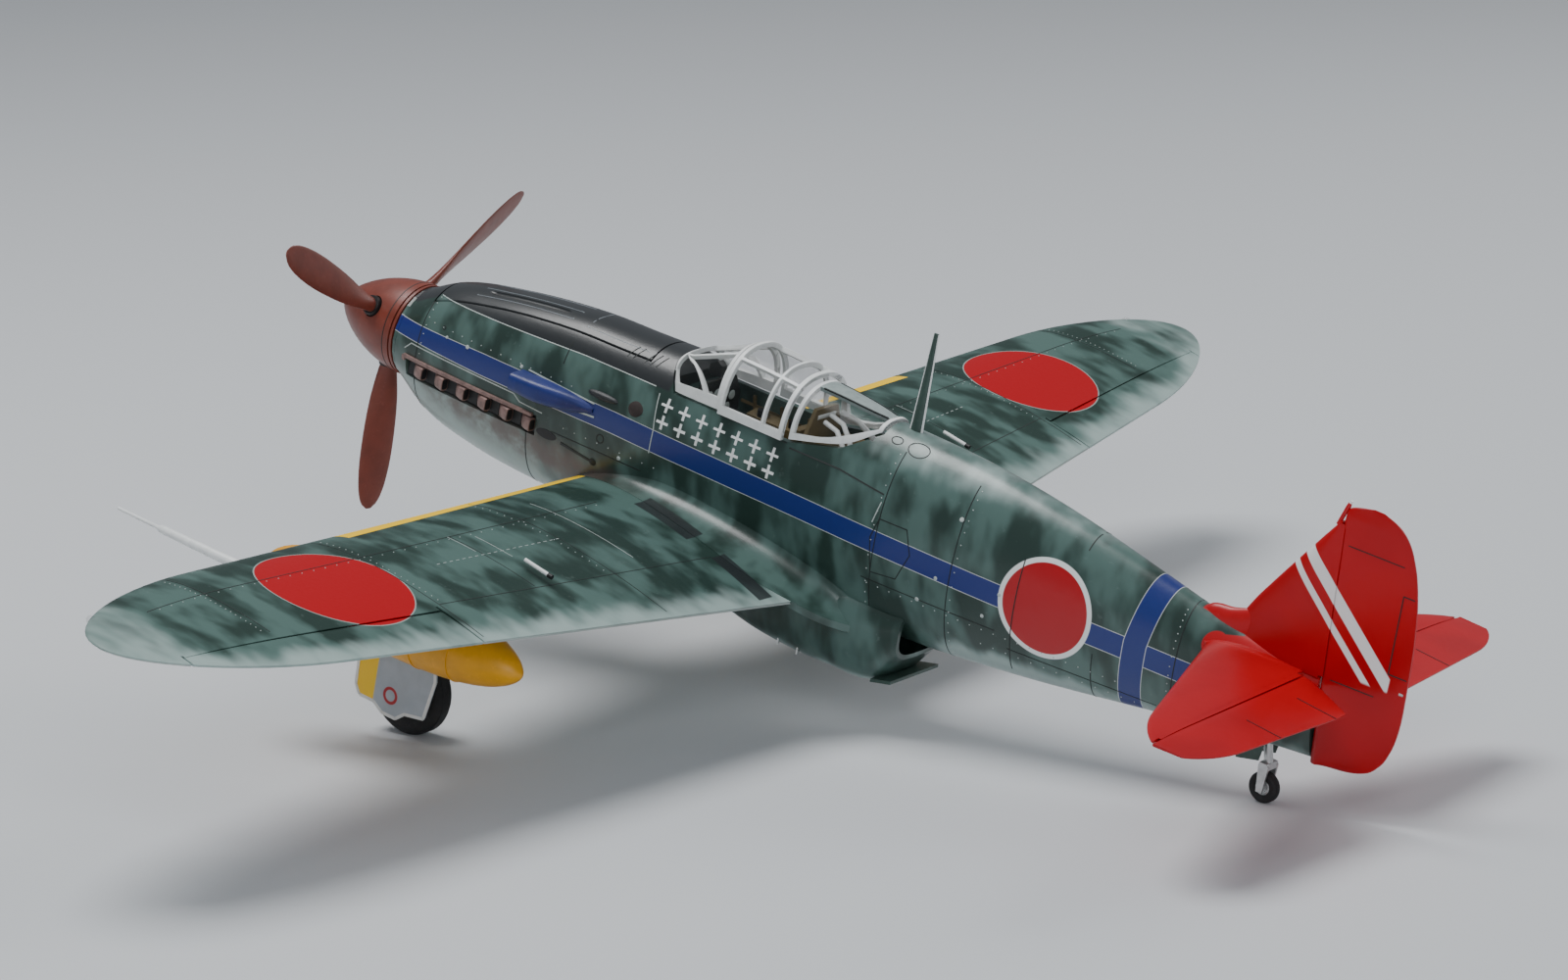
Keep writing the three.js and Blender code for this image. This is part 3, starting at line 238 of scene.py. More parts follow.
class Paint:
    """A material under construction: level coordinates, noise and colour layers."""

    def __init__(self, name, colour, roughness=0.42, metallic=0.0):
        self.material = bpy.data.materials.new(name)
        self.material.use_nodes = True
        self.tree = self.material.node_tree
        self.shader = self.tree.nodes["Principled BSDF"]
        self.shader.inputs["Roughness"].default_value = roughness
        self.shader.inputs["Metallic"].default_value = metallic
        self.material.diffuse_color = (*colour, 1)
        self.colour = None
        self.flat = (*colour, 1)
        self.place = self.tree.nodes.new("ShaderNodeTexCoord").outputs["Object"]
        self._level = None

    def level(self):
        """s, y and z of the level aeroplane, as numbers."""
        if self._level is None:
            offset = self.tree.nodes.new("ShaderNodeVectorMath")
            offset.operation = "SUBTRACT"
            self.tree.links.new(self.place, offset.inputs[0])
            offset.inputs[1].default_value = SPINNER_TIP
            found = []
            for axis in (-FORWARD, PORT, UPWARD):
                dot = self.tree.nodes.new("ShaderNodeVectorMath")
                dot.operation = "DOT_PRODUCT"
                self.tree.links.new(offset.outputs[0], dot.inputs[0])
                dot.inputs[1].default_value = axis / SCALE
                found.append(Val(self.tree, dot.outputs["Value"]))
            self._level = found
        return self._level

    def noise(self, size_mm, detail=2.0, roughness=0.5, seed=0.0, stretch=(1, 1, 1)):
        """Cloudy noise whose patches are about so many millimetres across."""
        shift = self.tree.nodes.new("ShaderNodeMapping")
        self.tree.links.new(self.place, shift.inputs["Vector"])
        shift.inputs["Location"].default_value = (seed, seed * 0.37, -seed * 0.61)
        shift.inputs["Scale"].default_value = stretch
        node = self.tree.nodes.new("ShaderNodeTexNoise")
        self.tree.links.new(shift.outputs[0], node.inputs["Vector"])
        node.inputs["Scale"].default_value = 1000 / size_mm
        node.inputs["Detail"].default_value = detail
        node.inputs["Roughness"].default_value = roughness
        return Val(self.tree, node.outputs["Fac"])

    def layer(self, colour, mask):
        """Lays a colour over what is there, where the mask is 1."""
        node = self.tree.nodes.new("ShaderNodeMix")
        node.data_type = "RGBA"
        if self.colour is None:
            node.inputs["A"].default_value = self.flat
        else:
            self.tree.links.new(self.colour, node.inputs["A"])
        node.inputs["B"].default_value = (*colour, 1)
        if isinstance(mask, Val):
            self.tree.links.new(mask.socket, node.inputs["Factor"])
        else:
            node.inputs["Factor"].default_value = mask
        self.colour = node.outputs["Result"]

    def rough(self, value):
        self.tree.links.new(value.socket, self.shader.inputs["Roughness"])

    def done(self, grain=0.04, coat=0.0, shine=0.5):
        """Adds the fine grain of sprayed paint or moulded plastic, and closes the material."""
        if self.colour is not None:
            self.tree.links.new(self.colour, self.shader.inputs["Base Color"])
        height = self.noise(GRAIN_MM, 3, 0.6, 0.3)
        bump = self.tree.nodes.new("ShaderNodeBump")
        bump.inputs["Strength"].default_value = grain
        bump.inputs["Distance"].default_value = GRAIN_DEPTH
        self.tree.links.new(height.socket, bump.inputs["Height"])
        self.tree.links.new(bump.outputs[0], self.shader.inputs["Normal"])
        self.shader.inputs["Specular IOR Level"].default_value = shine
        self.shader.inputs["Coat Weight"].default_value = coat
        self.shader.inputs["Coat Roughness"].default_value = 0.2
        return self.material


# ---- mesh helpers ----


CREASE = math.radians(32)
SAME_SPOT = 1e-7  # points of the model nearer than this are one


def set_edges(mesh):
    """Smooth faces, with a crease wherever two of them meet at more than the crease angle."""
    work = bmesh.new()
    work.from_mesh(mesh)
    bmesh.ops.remove_doubles(work, verts=work.verts, dist=SAME_SPOT)
    bmesh.ops.dissolve_degenerate(work, edges=work.edges, dist=SAME_SPOT)
    bmesh.ops.recalc_face_normals(work, faces=work.faces)
    for face in work.faces:
        face.smooth = True
    for edge in work.edges:
        edge.smooth = not (len(edge.link_faces) == 2 and edge.calc_face_angle(0) > CREASE)
    work.to_mesh(mesh)
    work.free()


POINT = 1e-6  # a turned profile that starts at this radius is solid


def round_ring(centre, first, second, radius, sides):
    """A circle of points in the plane of two directions; the radius is in full-size metres."""
    reach = radius * SCALE
    return [centre + (first * math.cos(a) + second * math.sin(a)) * reach for a in circle_turns(sides)]


class Solid:
    """Points and faces gathered for one piece."""

    def __init__(self):
        self.points = []
        self.faces = []

    def loft(self, rings, close=True):
        """Skins a row of outlines with the same number of corners."""
        start, n = len(self.points), len(rings[0])
        for ring in rings:
            self.points += ring
        for k in range(len(rings) - 1):
            for i in range(n):
                a, b = start + k * n + i, start + k * n + (i + 1) % n
                self.faces.append((a, b, b + n, a + n))
        if close:
            self.faces.append(tuple(range(start + n - 1, start - 1, -1)))
            last = start + (len(rings) - 1) * n
            self.faces.append(tuple(range(last, last + n)))
        return self

    def slab(self, surface, us, vs, low, high):
        """A patch of a surface, between two lifts from it, closed all round."""
        rings = []
        for u in us:
            over = [surface(u, v, high) for v in vs]
            under = [surface(u, v, low) for v in reversed(vs)]
            rings.append(over + under)
        return self.loft(rings)

    def bar(self, stops, sides=16):
        """A round bar through (centre, radius) pairs; the radius is in full-size metres."""
        points = [centre for centre, _ in stops]
        first, rings = None, []
        for i, (centre, radius) in enumerate(stops):
            axis = (points[min(i + 1, len(points) - 1)] - points[max(i - 1, 0)]).normalized()
            if first is None:
                first = axis.orthogonal().normalized()
            first = (first - axis * first.dot(axis)).normalized()
            rings.append(round_ring(centre, first, axis.cross(first), radius, sides))
        return self.loft(rings)

    def rod(self, *stops, sides=16):
        """A round bar through (s, y, z, radius) stops of the level aeroplane."""
        return self.bar([(at(s, y, z), radius) for s, y, z, radius in stops], sides)

    def turned(self, profile, centre, axis, sides=48):
        """A turned piece: (radius, distance) pairs along an axis, in full-size metres."""
        axis = axis.normalized()
        first = axis.orthogonal().normalized()
        second = axis.cross(first)
        hollow = profile[0][0] > POINT
        rings = []
        for radius, distance in profile:
            middle = centre + axis * distance * SCALE
            rings.append(round_ring(middle, first, second, max(radius, 10 * POINT), sides))
        if hollow:
            rings.append(rings[0])
        return self.loft(rings, close=not hollow)

    def strip(self, path, width, high=0.0012, low=-0.002):
        """A flat bar laid along (point, normal) pairs; sizes are full-size metres."""
        rings = []
        for i, (point, normal) in enumerate(path):
            ahead = path[min(i + 1, len(path) - 1)][0] - path[max(i - 1, 0)][0]
            if ahead.length < 1e-9:
                continue
            side = ahead.cross(normal).normalized() * width * SCALE / 2
            up, down = normal * high * SCALE, normal * low * SCALE
            rings.append([point - side + up, point + side + up, point + side + down, point - side + down])
        if len(rings) > 1:
            self.loft(rings)
        return self

    def dome(self, centre, normal, radius, height=0.004, sides=8):
        """A low round head, such as a rivet."""
        normal = normal.normalized()
        first = normal.orthogonal().normalized()
        second = normal.cross(first)
        rings = []
        for reach, lift in ((1, -0.004), (1, 0.0), (0.7, height)):
            rings.append(round_ring(centre + normal * lift * SCALE, first, second, radius * reach, sides))
        return self.loft(rings)

    def shape(self, name, paint=None):
        """Makes the gathered faces one object."""
        mesh = bpy.data.meshes.new(name)
        mesh.from_pydata(self.points, [], self.faces)
        set_edges(mesh)
        obj = bpy.data.objects.new(name, mesh)
        bpy.context.scene.collection.objects.link(obj)
        if paint:
            mesh.materials.append(PAINTS[paint])
        return obj

    def piece(self, name, paint, *nodes, body="airframe", slot=None):
        """Makes the gathered faces one painted piece that stands for the CAD nodes named."""
        return settle(self.shape(name, paint), paint, *nodes, body=body, slot=slot)


def settle(obj, paint, *nodes, body="airframe", slot=None):
    """Puts an object on a body and hides the CAD nodes named; the paint and slot it is given are not used."""
    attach(obj, body)
    if nodes:
        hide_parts(*nodes)
    return obj


def plate(outline, place, low, high):
    """The two end rings of a flat outline; place(a, b, c) puts a corner at depth c."""
    return [[place(a, b, c) for a, b in outline] for c in (low, high)]


def across(outline, from_y, to_y):
    return plate(outline, lambda s, z, y: at(s, y, z), from_y, to_y)


def upright(outline, from_z, to_z):
    return plate(outline, lambda s, y, z: at(s, y, z), from_z, to_z)


def lengthwise(outline, from_s, to_s):
    return plate(outline, lambda y, z, s: at(s, y, z), from_s, to_s)


def carve(obj, cutter):
    """Takes a Solid away from an object."""
    tool = cutter.shape("cutter")
    tool.data.materials.append(obj.data.materials[0])
    change = obj.modifiers.new("carve", "BOOLEAN")
    change.object = tool
    change.operation = "DIFFERENCE"
    change.solver = "EXACT"
    bpy.context.view_layer.update()
    evaluated = obj.evaluated_get(bpy.context.evaluated_depsgraph_get())
    mesh = bpy.data.meshes.new_from_object(evaluated)
    obj.modifiers.clear()
    obj.data = mesh
    bpy.data.objects.remove(tool)
    set_edges(mesh)


# ---- dimensions, as in the CAD source ----

MM = 1 / 1000 / SCALE  # a millimetre of the model, in full-size metres
GAP = 0.3 * MM
SKIN = 0.9 * MM
GLASS = 0.5 * MM
FUSELAGE = [  # station, half the width, top, bottom, height of the widest line, squareness
    (0.78, 0.345, 0.35, -0.36, 0.0, 2.0),
    (1.0, 0.375, 0.46, -0.5, 0.0, 2.2),
    (1.5, 0.405, 0.57, -0.61, 0.02, 2.4),
    (2.2, 0.42, 0.655, -0.66, 0.03, 2.4),
    (2.7, 0.42, 0.67, -0.68, 0.04, 2.35),
    (3.2, 0.42, 0.69, -0.68, 0.05, 2.3),
    (3.7, 0.405, 0.735, -0.66, 0.06, 2.2),
    (4.3, 0.385, 0.78, -0.64, 0.07, 2.1),
    (4.9, 0.375, 0.775, -0.63, 0.08, 2.1),
    (5.43, 0.35, 0.76, -0.61, 0.09, 2.1),
    (5.83, 0.325, 0.725, -0.57, 0.09, 2.1),
    (6.32, 0.28, 0.655, -0.51, 0.1, 2.1),
    (6.98, 0.21, 0.525, -0.41, 0.1, 2.1),
    (7.6, 0.15, 0.4, -0.31, 0.08, 2.1),
    (8.0, 0.105, 0.34, -0.26, 0.06, 2.1),
    (8.25, 0.062, 0.3, -0.235, 0.04, 2.1),
]
NOSE, TAIL_END = FUSELAGE[0][0], FUSELAGE[-1][0]
WING = {
    "front": (2.491, 2.836), "rear": (4.708, 3.964), "half_span": 6.0, "tip_from": 4.6,
    "z": -0.458, "dihedral": 4.0, "incidence": 1.2, "thickness": (0.16, 0.09),
    "camber": 0.018, "rear_edge": 0.012,
}
TAILPLANE = {
    "front": (7.432, 8.066), "rear": (8.66, 8.543), "half_span": 1.93, "tip_from": 1.48,
    "z": 0.266, "dihedral": 0, "incidence": 0, "thickness": (0.1, 0.08),
    "camber": 0, "rear_edge": 0.008,
}
AILERON = {"inner": 3.45, "outer": 5.62, "hinge": 0.78}
BEHIND_WING = 5.2
ELEVATOR = {"inner": 0.13, "outer": 1.9, "hinge": 8.2, "root_rear": 8.34}
FIN = [(0.3, 7.4), (0.42, 7.545), (0.66, 7.695), (0.91, 7.857), (1.2, 8.05), (1.33, 8.14)]
RUDDER = [
    (-0.255, 8.42, 0), (-0.24, 8.54, 0), (-0.2, 8.68, 0), (-0.12, 8.775, 0), (0.0, 8.83, 0),
    (0.15, 8.855, 0), (0.45, 8.845, 0), (0.76, 8.82, 0), (1.02, 8.775, 0), (1.23, 8.705, 0),
    (1.38, 8.61, 0), (1.44, 8.53, 0.03), (1.478, 8.42, 0.17),
]
RUDDER_HINGE = ((8.362, -0.26), (8.192, 1.34))
RUDDER_NOSE = (0.052, 0.022)


def super_power(value, squareness):
    return math.copysign(abs(value) ** (2 / squareness), value)


def skin(side):
    """The fuselage's surface: station, turn (-90 keel, 0 widest, 90 spine), lift."""

    def point(s, turn, lift=0.0):
        half, top, bottom, widest, squareness = along(FUSELAGE, s)
        angle = math.radians(turn)
        reach = top + lift - widest if turn > 0 else widest - bottom + lift
        y = (half + lift) * super_power(math.cos(angle), squareness)
        z = widest + reach * super_power(math.sin(angle), squareness)
        lean = 0.106 * smooth((s - 7.4) / (TAIL_END - 7.4)) * (0.28 - z)
        return at(s + lean, side * y, z)

    return point


def turn_at(s, z):
    """The turn at which the fuselage's side has a height."""
    _, top, bottom, widest, squareness = along(FUSELAGE, s)
    reach = top - widest if z > widest else widest - bottom
    share = min(1, abs(z - widest) / reach) ** (squareness / 2)
    return math.degrees(math.copysign(math.asin(share), z - widest))


def half_width(s, z):
    half, top, bottom, widest, squareness = along(FUSELAGE, s)
    reach = top - widest if z > widest else widest - bottom
    share = min(1, abs(z - widest) / reach)
    return half * (1 - share**squareness) ** (1 / squareness)


def flank(side):
    """The fuselage's surface by station and height."""
    surface = skin(side)
    return lambda s, z, lift=0.0: surface(s, turn_at(s, z), lift)


def rib(surface, y):
    """Front and rear edge, thickness share and height of a lifting surface at y."""
    share = y / surface["half_span"]
    rounding = max(0, (y - surface["tip_from"]) / (surface["half_span"] - surface["tip_from"]))
    shrink = math.sqrt(max(0, 1 - rounding**2))
    front, rear = lerp(*surface["front"], share), lerp(*surface["rear"], share)
    middle = (front + rear) / 2
    height = surface["z"] + y * math.tan(math.radians(surface["dihedral"]))
    thickness = lerp(*surface["thickness"], share)
    return lerp(middle, front, shrink), lerp(middle, rear, shrink), thickness, height


def profile_half(x, thickness):
    x = max(0, x)
    curve = 0.2969 * math.sqrt(x) - 0.126 * x - 0.3516 * x**2 + 0.2843 * x**3 - 0.1015 * x**4
    return 5 * thickness * curve


def half_thickness(surface, y, x):
    front, rear, thickness, _ = rib(surface, y)
    return (rear - front) * profile_half(x, thickness) + surface["rear_edge"] * x / 2


def surface_z(surface, y, x, level, lift=0.0):
    front, rear, _, height = rib(surface, y)
    chord = rear - front
    camber = 4 * surface["camber"] * chord * x * (1 - x)
    aft = front + x * chord - lerp(*surface["front"], y / surface["half_span"])
    droop = aft * math.tan(math.radians(surface["incidence"]))
    return height + camber - droop + level * (half_thickness(surface, y, x) + lift)


def panel(surface, side, level):
    """A wing's or tailplane's skin: y, share of the chord, lift."""

    def point(y, x, lift=0.0):
        front, rear, _, _ = rib(surface, y)
        return at(lerp(front, rear, x), side * y, surface_z(surface, y, x, level, lift))

    return point


def chord_share(surface, y, s):
    front, rear, _, _ = rib(surface, y)
    return (s - front) / (rear - front)


def plan(surface, side, level):
    """The same skin by y and station."""
    by_share = panel(surface, side, level)
    return lambda y, s, lift=0.0: by_share(y, chord_share(surface, y, s), lift)


CHORD = [0.5 - 0.5 * math.cos(math.pi * i / 26) for i in range(27)]
TIP_TURNS = [math.sin(math.pi / 2 * i / 16) for i in range(17)]


def rib_row(surface, root, count):
    inner = spread(root, surface["tip_from"], count)
    outer = [lerp(surface["tip_from"], surface["half_span"], t) for t in TIP_TURNS[1:]]
    outer[-1] = surface["half_span"] - 0.0004
    return inner + outer


def aileron_hinge(y):
    a, b = AILERON["inner"], WING["tip_from"]
    line = [lerp(*rib(WING, t)[:2], AILERON["hinge"]) for t in (a, b)]
    return lerp(*line, (y - a) / (b - a))


def aileron_nose(y):
    return max(0.01, 0.9 * half_thickness(WING, y, chord_share(WING, y, aileron_hinge(y))))


def elevator_nose(y):
    share = max(0.02, chord_share(TAILPLANE, y, ELEVATOR["hinge"]))
    return max(0.01, 0.92 * half_thickness(TAILPLANE, y, share))


def rudder_hinge(z):
    (bottom_s, bottom_z), (top_s, top_z) = RUDDER_HINGE
    return lerp(bottom_s, top_s, (z - bottom_z) / (top_z - bottom_z))


def rudder_nose(z):
    return lerp(*RUDDER_NOSE, max(0, z) / 1.4)


# ---- paints ----

PALE_GREEN = (0.31, 0.40, 0.38)
SEA_GREEN = (0.075, 0.135, 0.120)
DARK_GREEN = (0.015, 0.034, 0.027)
BLUE = (0.012, 0.026, 0.165)
SIGNAL_RED = (0.40, 0.0, 0.005)
TAIL_RED = (0.46, 0.001, 0.006)
WHITE = (0.78, 0.80, 0.79)
CHARCOAL = (0.018, 0.021, 0.023)
YELLOW = (0.82, 0.37, 0.003)
BRIGHT_YELLOW = (1.0, 0.62, 0.0)
PROP_BROWN = (0.19, 0.040, 0.025)
SOOT = (0.105, 0.070, 0.060)


def mottle(paint, pale, size_mm, stretch, seed):
    """Soft dark patches over sea green; pale is 1 where it turns a light grey green, which on the spine and
    the wing's edges is a painted highlight.
    """
    clouds = paint.noise(size_mm, 1.5, 0.5, seed, stretch)
    fine = paint.noise(size_mm * 0.42, 1.5, 0.5, seed + 5, stretch)
    blend = clouds * 0.7 + fine * 0.3
    paint.layer(SEA_GREEN, 1.0)
    paint.layer(DARK_GREEN, (blend - pale * 0.12).above(0.49, 0.10) * 0.96)
    # Light grey green where pale is 1, broken up by noise: a painted highlight on the spine and along the
    # wing's rear edge and tips.
    thin = paint.noise(size_mm * 0.8, 2, 0.5, seed + 11, stretch)
    paint.layer(PALE_GREEN, (pale + (thin - 0.5) * 1.1).above(0.62, 0.34))
    dust = paint.noise(1.4, 3, 0.6, seed + 9)
    paint.layer(PALE_GREEN, dust.above(0.70, 0.07) * 0.10)


def distance_to(a, b, centre):
    da, db = a - centre[0], b - centre[1]
    return (da * da + db * db).op("SQRT")


BODY_DISC = {"centre": (6.335, 0.08), "radius": 0.342, "border": 0.034}
WING_DISC = {"centre": (3.414, 3.903), "radius": 0.518, "border": 0.008}


def disc(paint, a, b, mark, edge):
    """A round mark in the plane of two coordinates: a pale border outside, red inside."""
    distance = distance_to(a, b, mark["centre"])
    paint.layer(edge, 1 - distance.above(mark["radius"], 0.003))
    paint.layer(SIGNAL_RED, 1 - distance.above(mark["radius"] - mark["border"], 0.003))


def pale_and_spine_highlight(s, z):
    """1 where the fuselage is lighter: under the nose and on the belly, and along the spine, where it is a
    painted highlight.
    """
    chin = (1 - z.above(-0.16, 0.16)) * (1 - s.above(2.4, 0.8))
    duct = s.within(3.7, 5.4, 0.12)
    belly = (1 - z.above(-0.57, 0.12)) * (1 - duct) + (1 - z.above(-0.9, 0.08)) * duct
    belly = belly.max((1 - (z - s * 0.08).above(-0.87, 0.1)) * s.above(5.5, 0.15))
    # A painted highlight along the spine, behind the cockpit.
    spine = z.above(0.56, 0.1) * s.above(4.7, 0.5) * 0.55
    return (chin + belly + spine).min(1.0)


def exhaust_stain(paint, s, z):
    """Brown soot that trails aft and a little down from the exhausts."""
    stain = (1 - (z + 0.17 + (s - 0.9) * 0.10).abs().above(0.13, 0.10)) * s.within(1.0, 3.4, 0.45)
    paint.layer(SOOT, stain * paint.noise(3, 3, 0.6, 4).above(0.40, 0.25) * 0.85)


def side_stripe(paint, s, y, z):
    """A blue stripe with white edges along each side, narrower at the nose."""
    side = y.abs().above(0.04, 0.01)
    centre = 0.128 - (s - 2.8).max(0.0) * 0.0243
    half = 0.053 + (s - 0.7).min(0.9) * 0.026
    off = (z - centre).abs() - half
    fore = 1 - s.above(7.75, 0.01)
    paint.layer(WHITE, (1 - off.above(0.003, 0.0015)) * side * fore * 0.8)
    paint.layer(BLUE, (1 - off.above(-0.001, 0.0015)) * side * fore)


def rear_band(paint, s, z):
    """A blue band with white edges round the rear fuselage."""
    band_s = s - (z - 0.08).max(0.0) * 0.15
    paint.layer(WHITE, band_s.within(6.918, 7.087, 0.002) * 0.85)
    paint.layer(BLUE, band_s.within(6.922, 7.083, 0.003))


def glare_panel(s, y, z):
    """1 on the dark panel on top of the nose, and on its narrower front end."""
    main = (z - (s - 1.0).min(1.4) * 0.045).above(0.408, 0.008) * (1 - s.above(3.16, 0.01))
    tip = z.above(0.29, 0.008) * (1 - y.abs().above(0.22, 0.008)) * (1 - s.above(1.0, 0.01))
    return main.max(tip)


def red_tail(s, z):
    """1 on the red end of the fuselage, which has a round nose at the tailplane's root."""
    upper = (z + s * 0.181).above(1.766, 0.003) * s.above(7.345, 0.004)
    nose = 1 - distance_to(s, z, (7.53, 0.262)).above(0.09, 0.004)
    lower = (s * 0.2 - z).above(1.168, 0.004) * z.above(0.17, 0.006) * s.above(7.5, 0.004)
    rear = s.above(7.68, 0.006) * z.above(0.17, 0.006)
    return upper.max(nose).max(lower.max(rear))


def fuselage_paint():
    paint = Paint("paint_fuselage", PALE_GREEN, 0.36)
    s, y, z = paint.level()
    mottle(paint, pale_and_spine_highlight(s, z), 6.5, (1.25, 1, 0.55), 2.0)
    exhaust_stain(paint, s, z)
    side_stripe(paint, s, y, z)
    rear_band(paint, s, z)
    disc(paint, s, z, BODY_DISC, WHITE)
    paint.layer(CHARCOAL, glare_panel(s, y, z))
    paint.layer(TAIL_RED, red_tail(s, z))
    walkways(paint, s, y.abs())
    paint.rough(paint.noise(0.6, 4, 0.7, 8) * 0.16 + 0.25)
    return paint.done(grain=0.05, coat=0.2)


def walkways(paint, s, out):
    """Two dark patches to tread on at the wing's root."""
    lean = out - (s - 3.29) * 0.15
    paint.layer(CHARCOAL, s.within(3.29, 3.82, 0.004) * lean.within(0.52, 0.70, 0.004) * 0.9)
    paint.layer(CHARCOAL, s.within(4.06, 4.55, 0.004) * lean.within(0.545, 0.69, 0.004) * 0.9)


def wing_coordinates(paint):
    """Distance out along the wing, and distances aft of its front and rear edge lines."""
    s, y, _ = paint.level()
    out = y.abs()
    behind = []
    for root, tip in (WING["front"], WING["rear"]):
        behind.append(s - (out * ((tip - root) / WING["half_span"]) + root))
    return s, out, *behind


def yellow_front(paint, out, behind):
    paint.layer(BRIGHT_YELLOW, (1 - behind.above(0.17, 0.004)) * out.within(0.4, 3.12, 0.004))


def wing_paint():
    paint = Paint("paint_wing", PALE_GREEN, 0.36)
    s, out, behind, ahead = wing_coordinates(paint)
    # A painted highlight along the wing's rear edge and at its tips, used as mottle's pale mask.
    edge = ahead.above(-0.17, 0.24) * 0.95 + out.above(5.45, 0.4) * 0.7
    mottle(paint, edge.min(1.0), 6.5, (0.55, 1.15, 1), 6.0)
    yellow_front(paint, out, behind)
    disc(paint, s, out, WING_DISC, PALE_GREEN)
    walkways(paint, s, out)
    paint.rough(paint.noise(0.6, 4, 0.7, 8) * 0.16 + 0.32)
    return paint.done(grain=0.05, shine=0.2)


def underside_paint():
    paint = Paint("paint_underside", (0.40, 0.45, 0.43), 0.4)
    s, out, behind, _ = wing_coordinates(paint)
    paint.layer((0.28, 0.33, 0.31), paint.noise(9, 3, 0.6, 1).above(0.55, 0.12) * 0.5)
    yellow_front(paint, out, behind)
    disc(paint, s, out, WING_DISC, PALE_GREEN)
    return paint.done(grain=0.05, coat=0.1)


def tail_paint():
    paint = Paint("paint_tail", TAIL_RED, 0.3)
    s, y, z = paint.level()
    paint.layer((0.27, 0.0, 0.003), paint.noise(14, 2, 0.5, 5).above(0.54, 0.2) * 0.5)
    paint.layer((0.5, 0.012, 0.015), paint.noise(5, 3, 0.6, 7).above(0.62, 0.12) * 0.12)
    slant = z - (8.62 - s) * 0.9
    bars = slant.within(0.30, 0.36, 0.003) + slant.within(0.45, 0.56, 0.003)
    upright_face = (1 - y.abs().above(0.08, 0.01)) * z.above(0.38, 0.01)
    paint.layer(WHITE, bars * upright_face * s.within(7.7, 8.72, 0.003))
    paint.rough(paint.noise(0.9, 2, 0.5, 8) * 0.10 + 0.28)
    return paint.done(grain=0.015, coat=0.1, shine=0.3)


def plain_paint(name, colour, roughness=0.4, metallic=0.0, shade=0.6, grain=0.05, size_mm=3.0):
    """One colour with soft mottling, worn pale specks and a little variation of gloss."""
    paint = Paint(name, colour, roughness, metallic)
    darker = tuple(c * shade for c in colour)
    lighter = tuple(min(1, c * 1.25 + 0.02) for c in colour)
    paint.layer(darker, paint.noise(size_mm, 3, 0.6, 1.5).above(0.52, 0.16) * 0.7)
    paint.layer(lighter, paint.noise(size_mm / 4, 3, 0.65, 6.5).above(0.64, 0.05) * 0.35)
    paint.rough(paint.noise(size_mm / 3, 3, 0.6, 8) * 0.2 + (roughness - 0.1))
    return paint.done(grain=grain)


def cover_paint():
    """Light grey with a yellow front, a small red ring by the axle and a thin red line across."""
    paint = Paint("paint_gear_cover", (0.42, 0.47, 0.52), 0.38)
    s, _, z = paint.level()
    paint.layer((0.34, 0.38, 0.42), paint.noise(4, 3, 0.6, 3).above(0.52, 0.15) * 0.6)
    paint.layer(BRIGHT_YELLOW, 1 - s.above(2.59, 0.004))
    ring = distance_to(s, z, (2.73, -1.51))
    paint.layer(SIGNAL_RED, ring.within(0.04, 0.062, 0.003))
    paint.layer(SIGNAL_RED, z.within(-0.655, -0.64, 0.003))
    return paint.done(grain=0.05)


def glass_paint():
    paint = Paint("clear_canopy", (0.03, 0.035, 0.035), 0.04)
    smudge = paint.noise(2.0, 3, 0.6, 2)
    paint.layer((0.10, 0.11, 0.11), smudge.above(0.55, 0.2) * 0.5)
    paint.rough(smudge * 0.06 + 0.02)
    paint.shader.inputs["Alpha"].default_value = 0.10
    paint.shader.inputs["IOR"].default_value = 1.5
    return paint.done(grain=0.01)


PAINTS = {
    "fuselage": fuselage_paint(),
    "wing": wing_paint(),
    "underside": underside_paint(),
    "tail": tail_paint(),
    "charcoal": plain_paint("paint_charcoal", CHARCOAL, 0.5, shade=0.7),
    "brown": plain_paint("paint_propeller", PROP_BROWN, 0.38, shade=0.75),
    "yellow": plain_paint("paint_yellow", YELLOW, 0.4, shade=0.85),
    "blue": plain_paint("paint_blue", BLUE, 0.38, shade=0.7),
    "grey": plain_paint("paint_grey", (0.34, 0.38, 0.41), 0.42, shade=0.82),
    "cover": cover_paint(),
    "green": plain_paint("paint_green", (0.04, 0.075, 0.062), 0.42, shade=0.6),
    "white": plain_paint("paint_frames", (0.80, 0.82, 0.81), 0.42, shade=0.9, size_mm=1.5),
    # The cockpit's tan, darkened to paint the shade inside the cockpit.
    "tan": plain_paint("paint_cockpit_shaded", (0.17, 0.125, 0.055), 0.6, shade=0.6),
    "black": plain_paint("paint_black", (0.012, 0.012, 0.013), 0.5, shade=0.6),
    "tyre": plain_paint("moulded_tyre", (0.018, 0.018, 0.019), 0.75, shade=0.6, grain=0.2),
    "silver": plain_paint("paint_silver", (0.62, 0.63, 0.63), 0.32, 0.75, shade=0.75, size_mm=1.5),
    "exhaust": plain_paint("paint_exhaust", (0.30, 0.19, 0.17), 0.5, 0.3, shade=0.45, grain=0.2, size_mm=1.2),
    "soot": plain_paint("paint_soot", (0.03, 0.02, 0.018), 0.55),
    "line": plain_paint("panel_wash", (0.012, 0.016, 0.015), 0.6, shade=0.8),
    "red": plain_paint("paint_red", TAIL_RED, 0.35, shade=0.85),
    "roof": plain_paint("paint_canopy_roof", (0.30, 0.36, 0.35), 0.4, shade=0.75, size_mm=1.5),
    "pale": plain_paint("paint_pale", (0.46, 0.51, 0.49), 0.4, shade=0.9, size_mm=1.5),
    "glass": glass_paint(),
}


# ---- fuselage ----

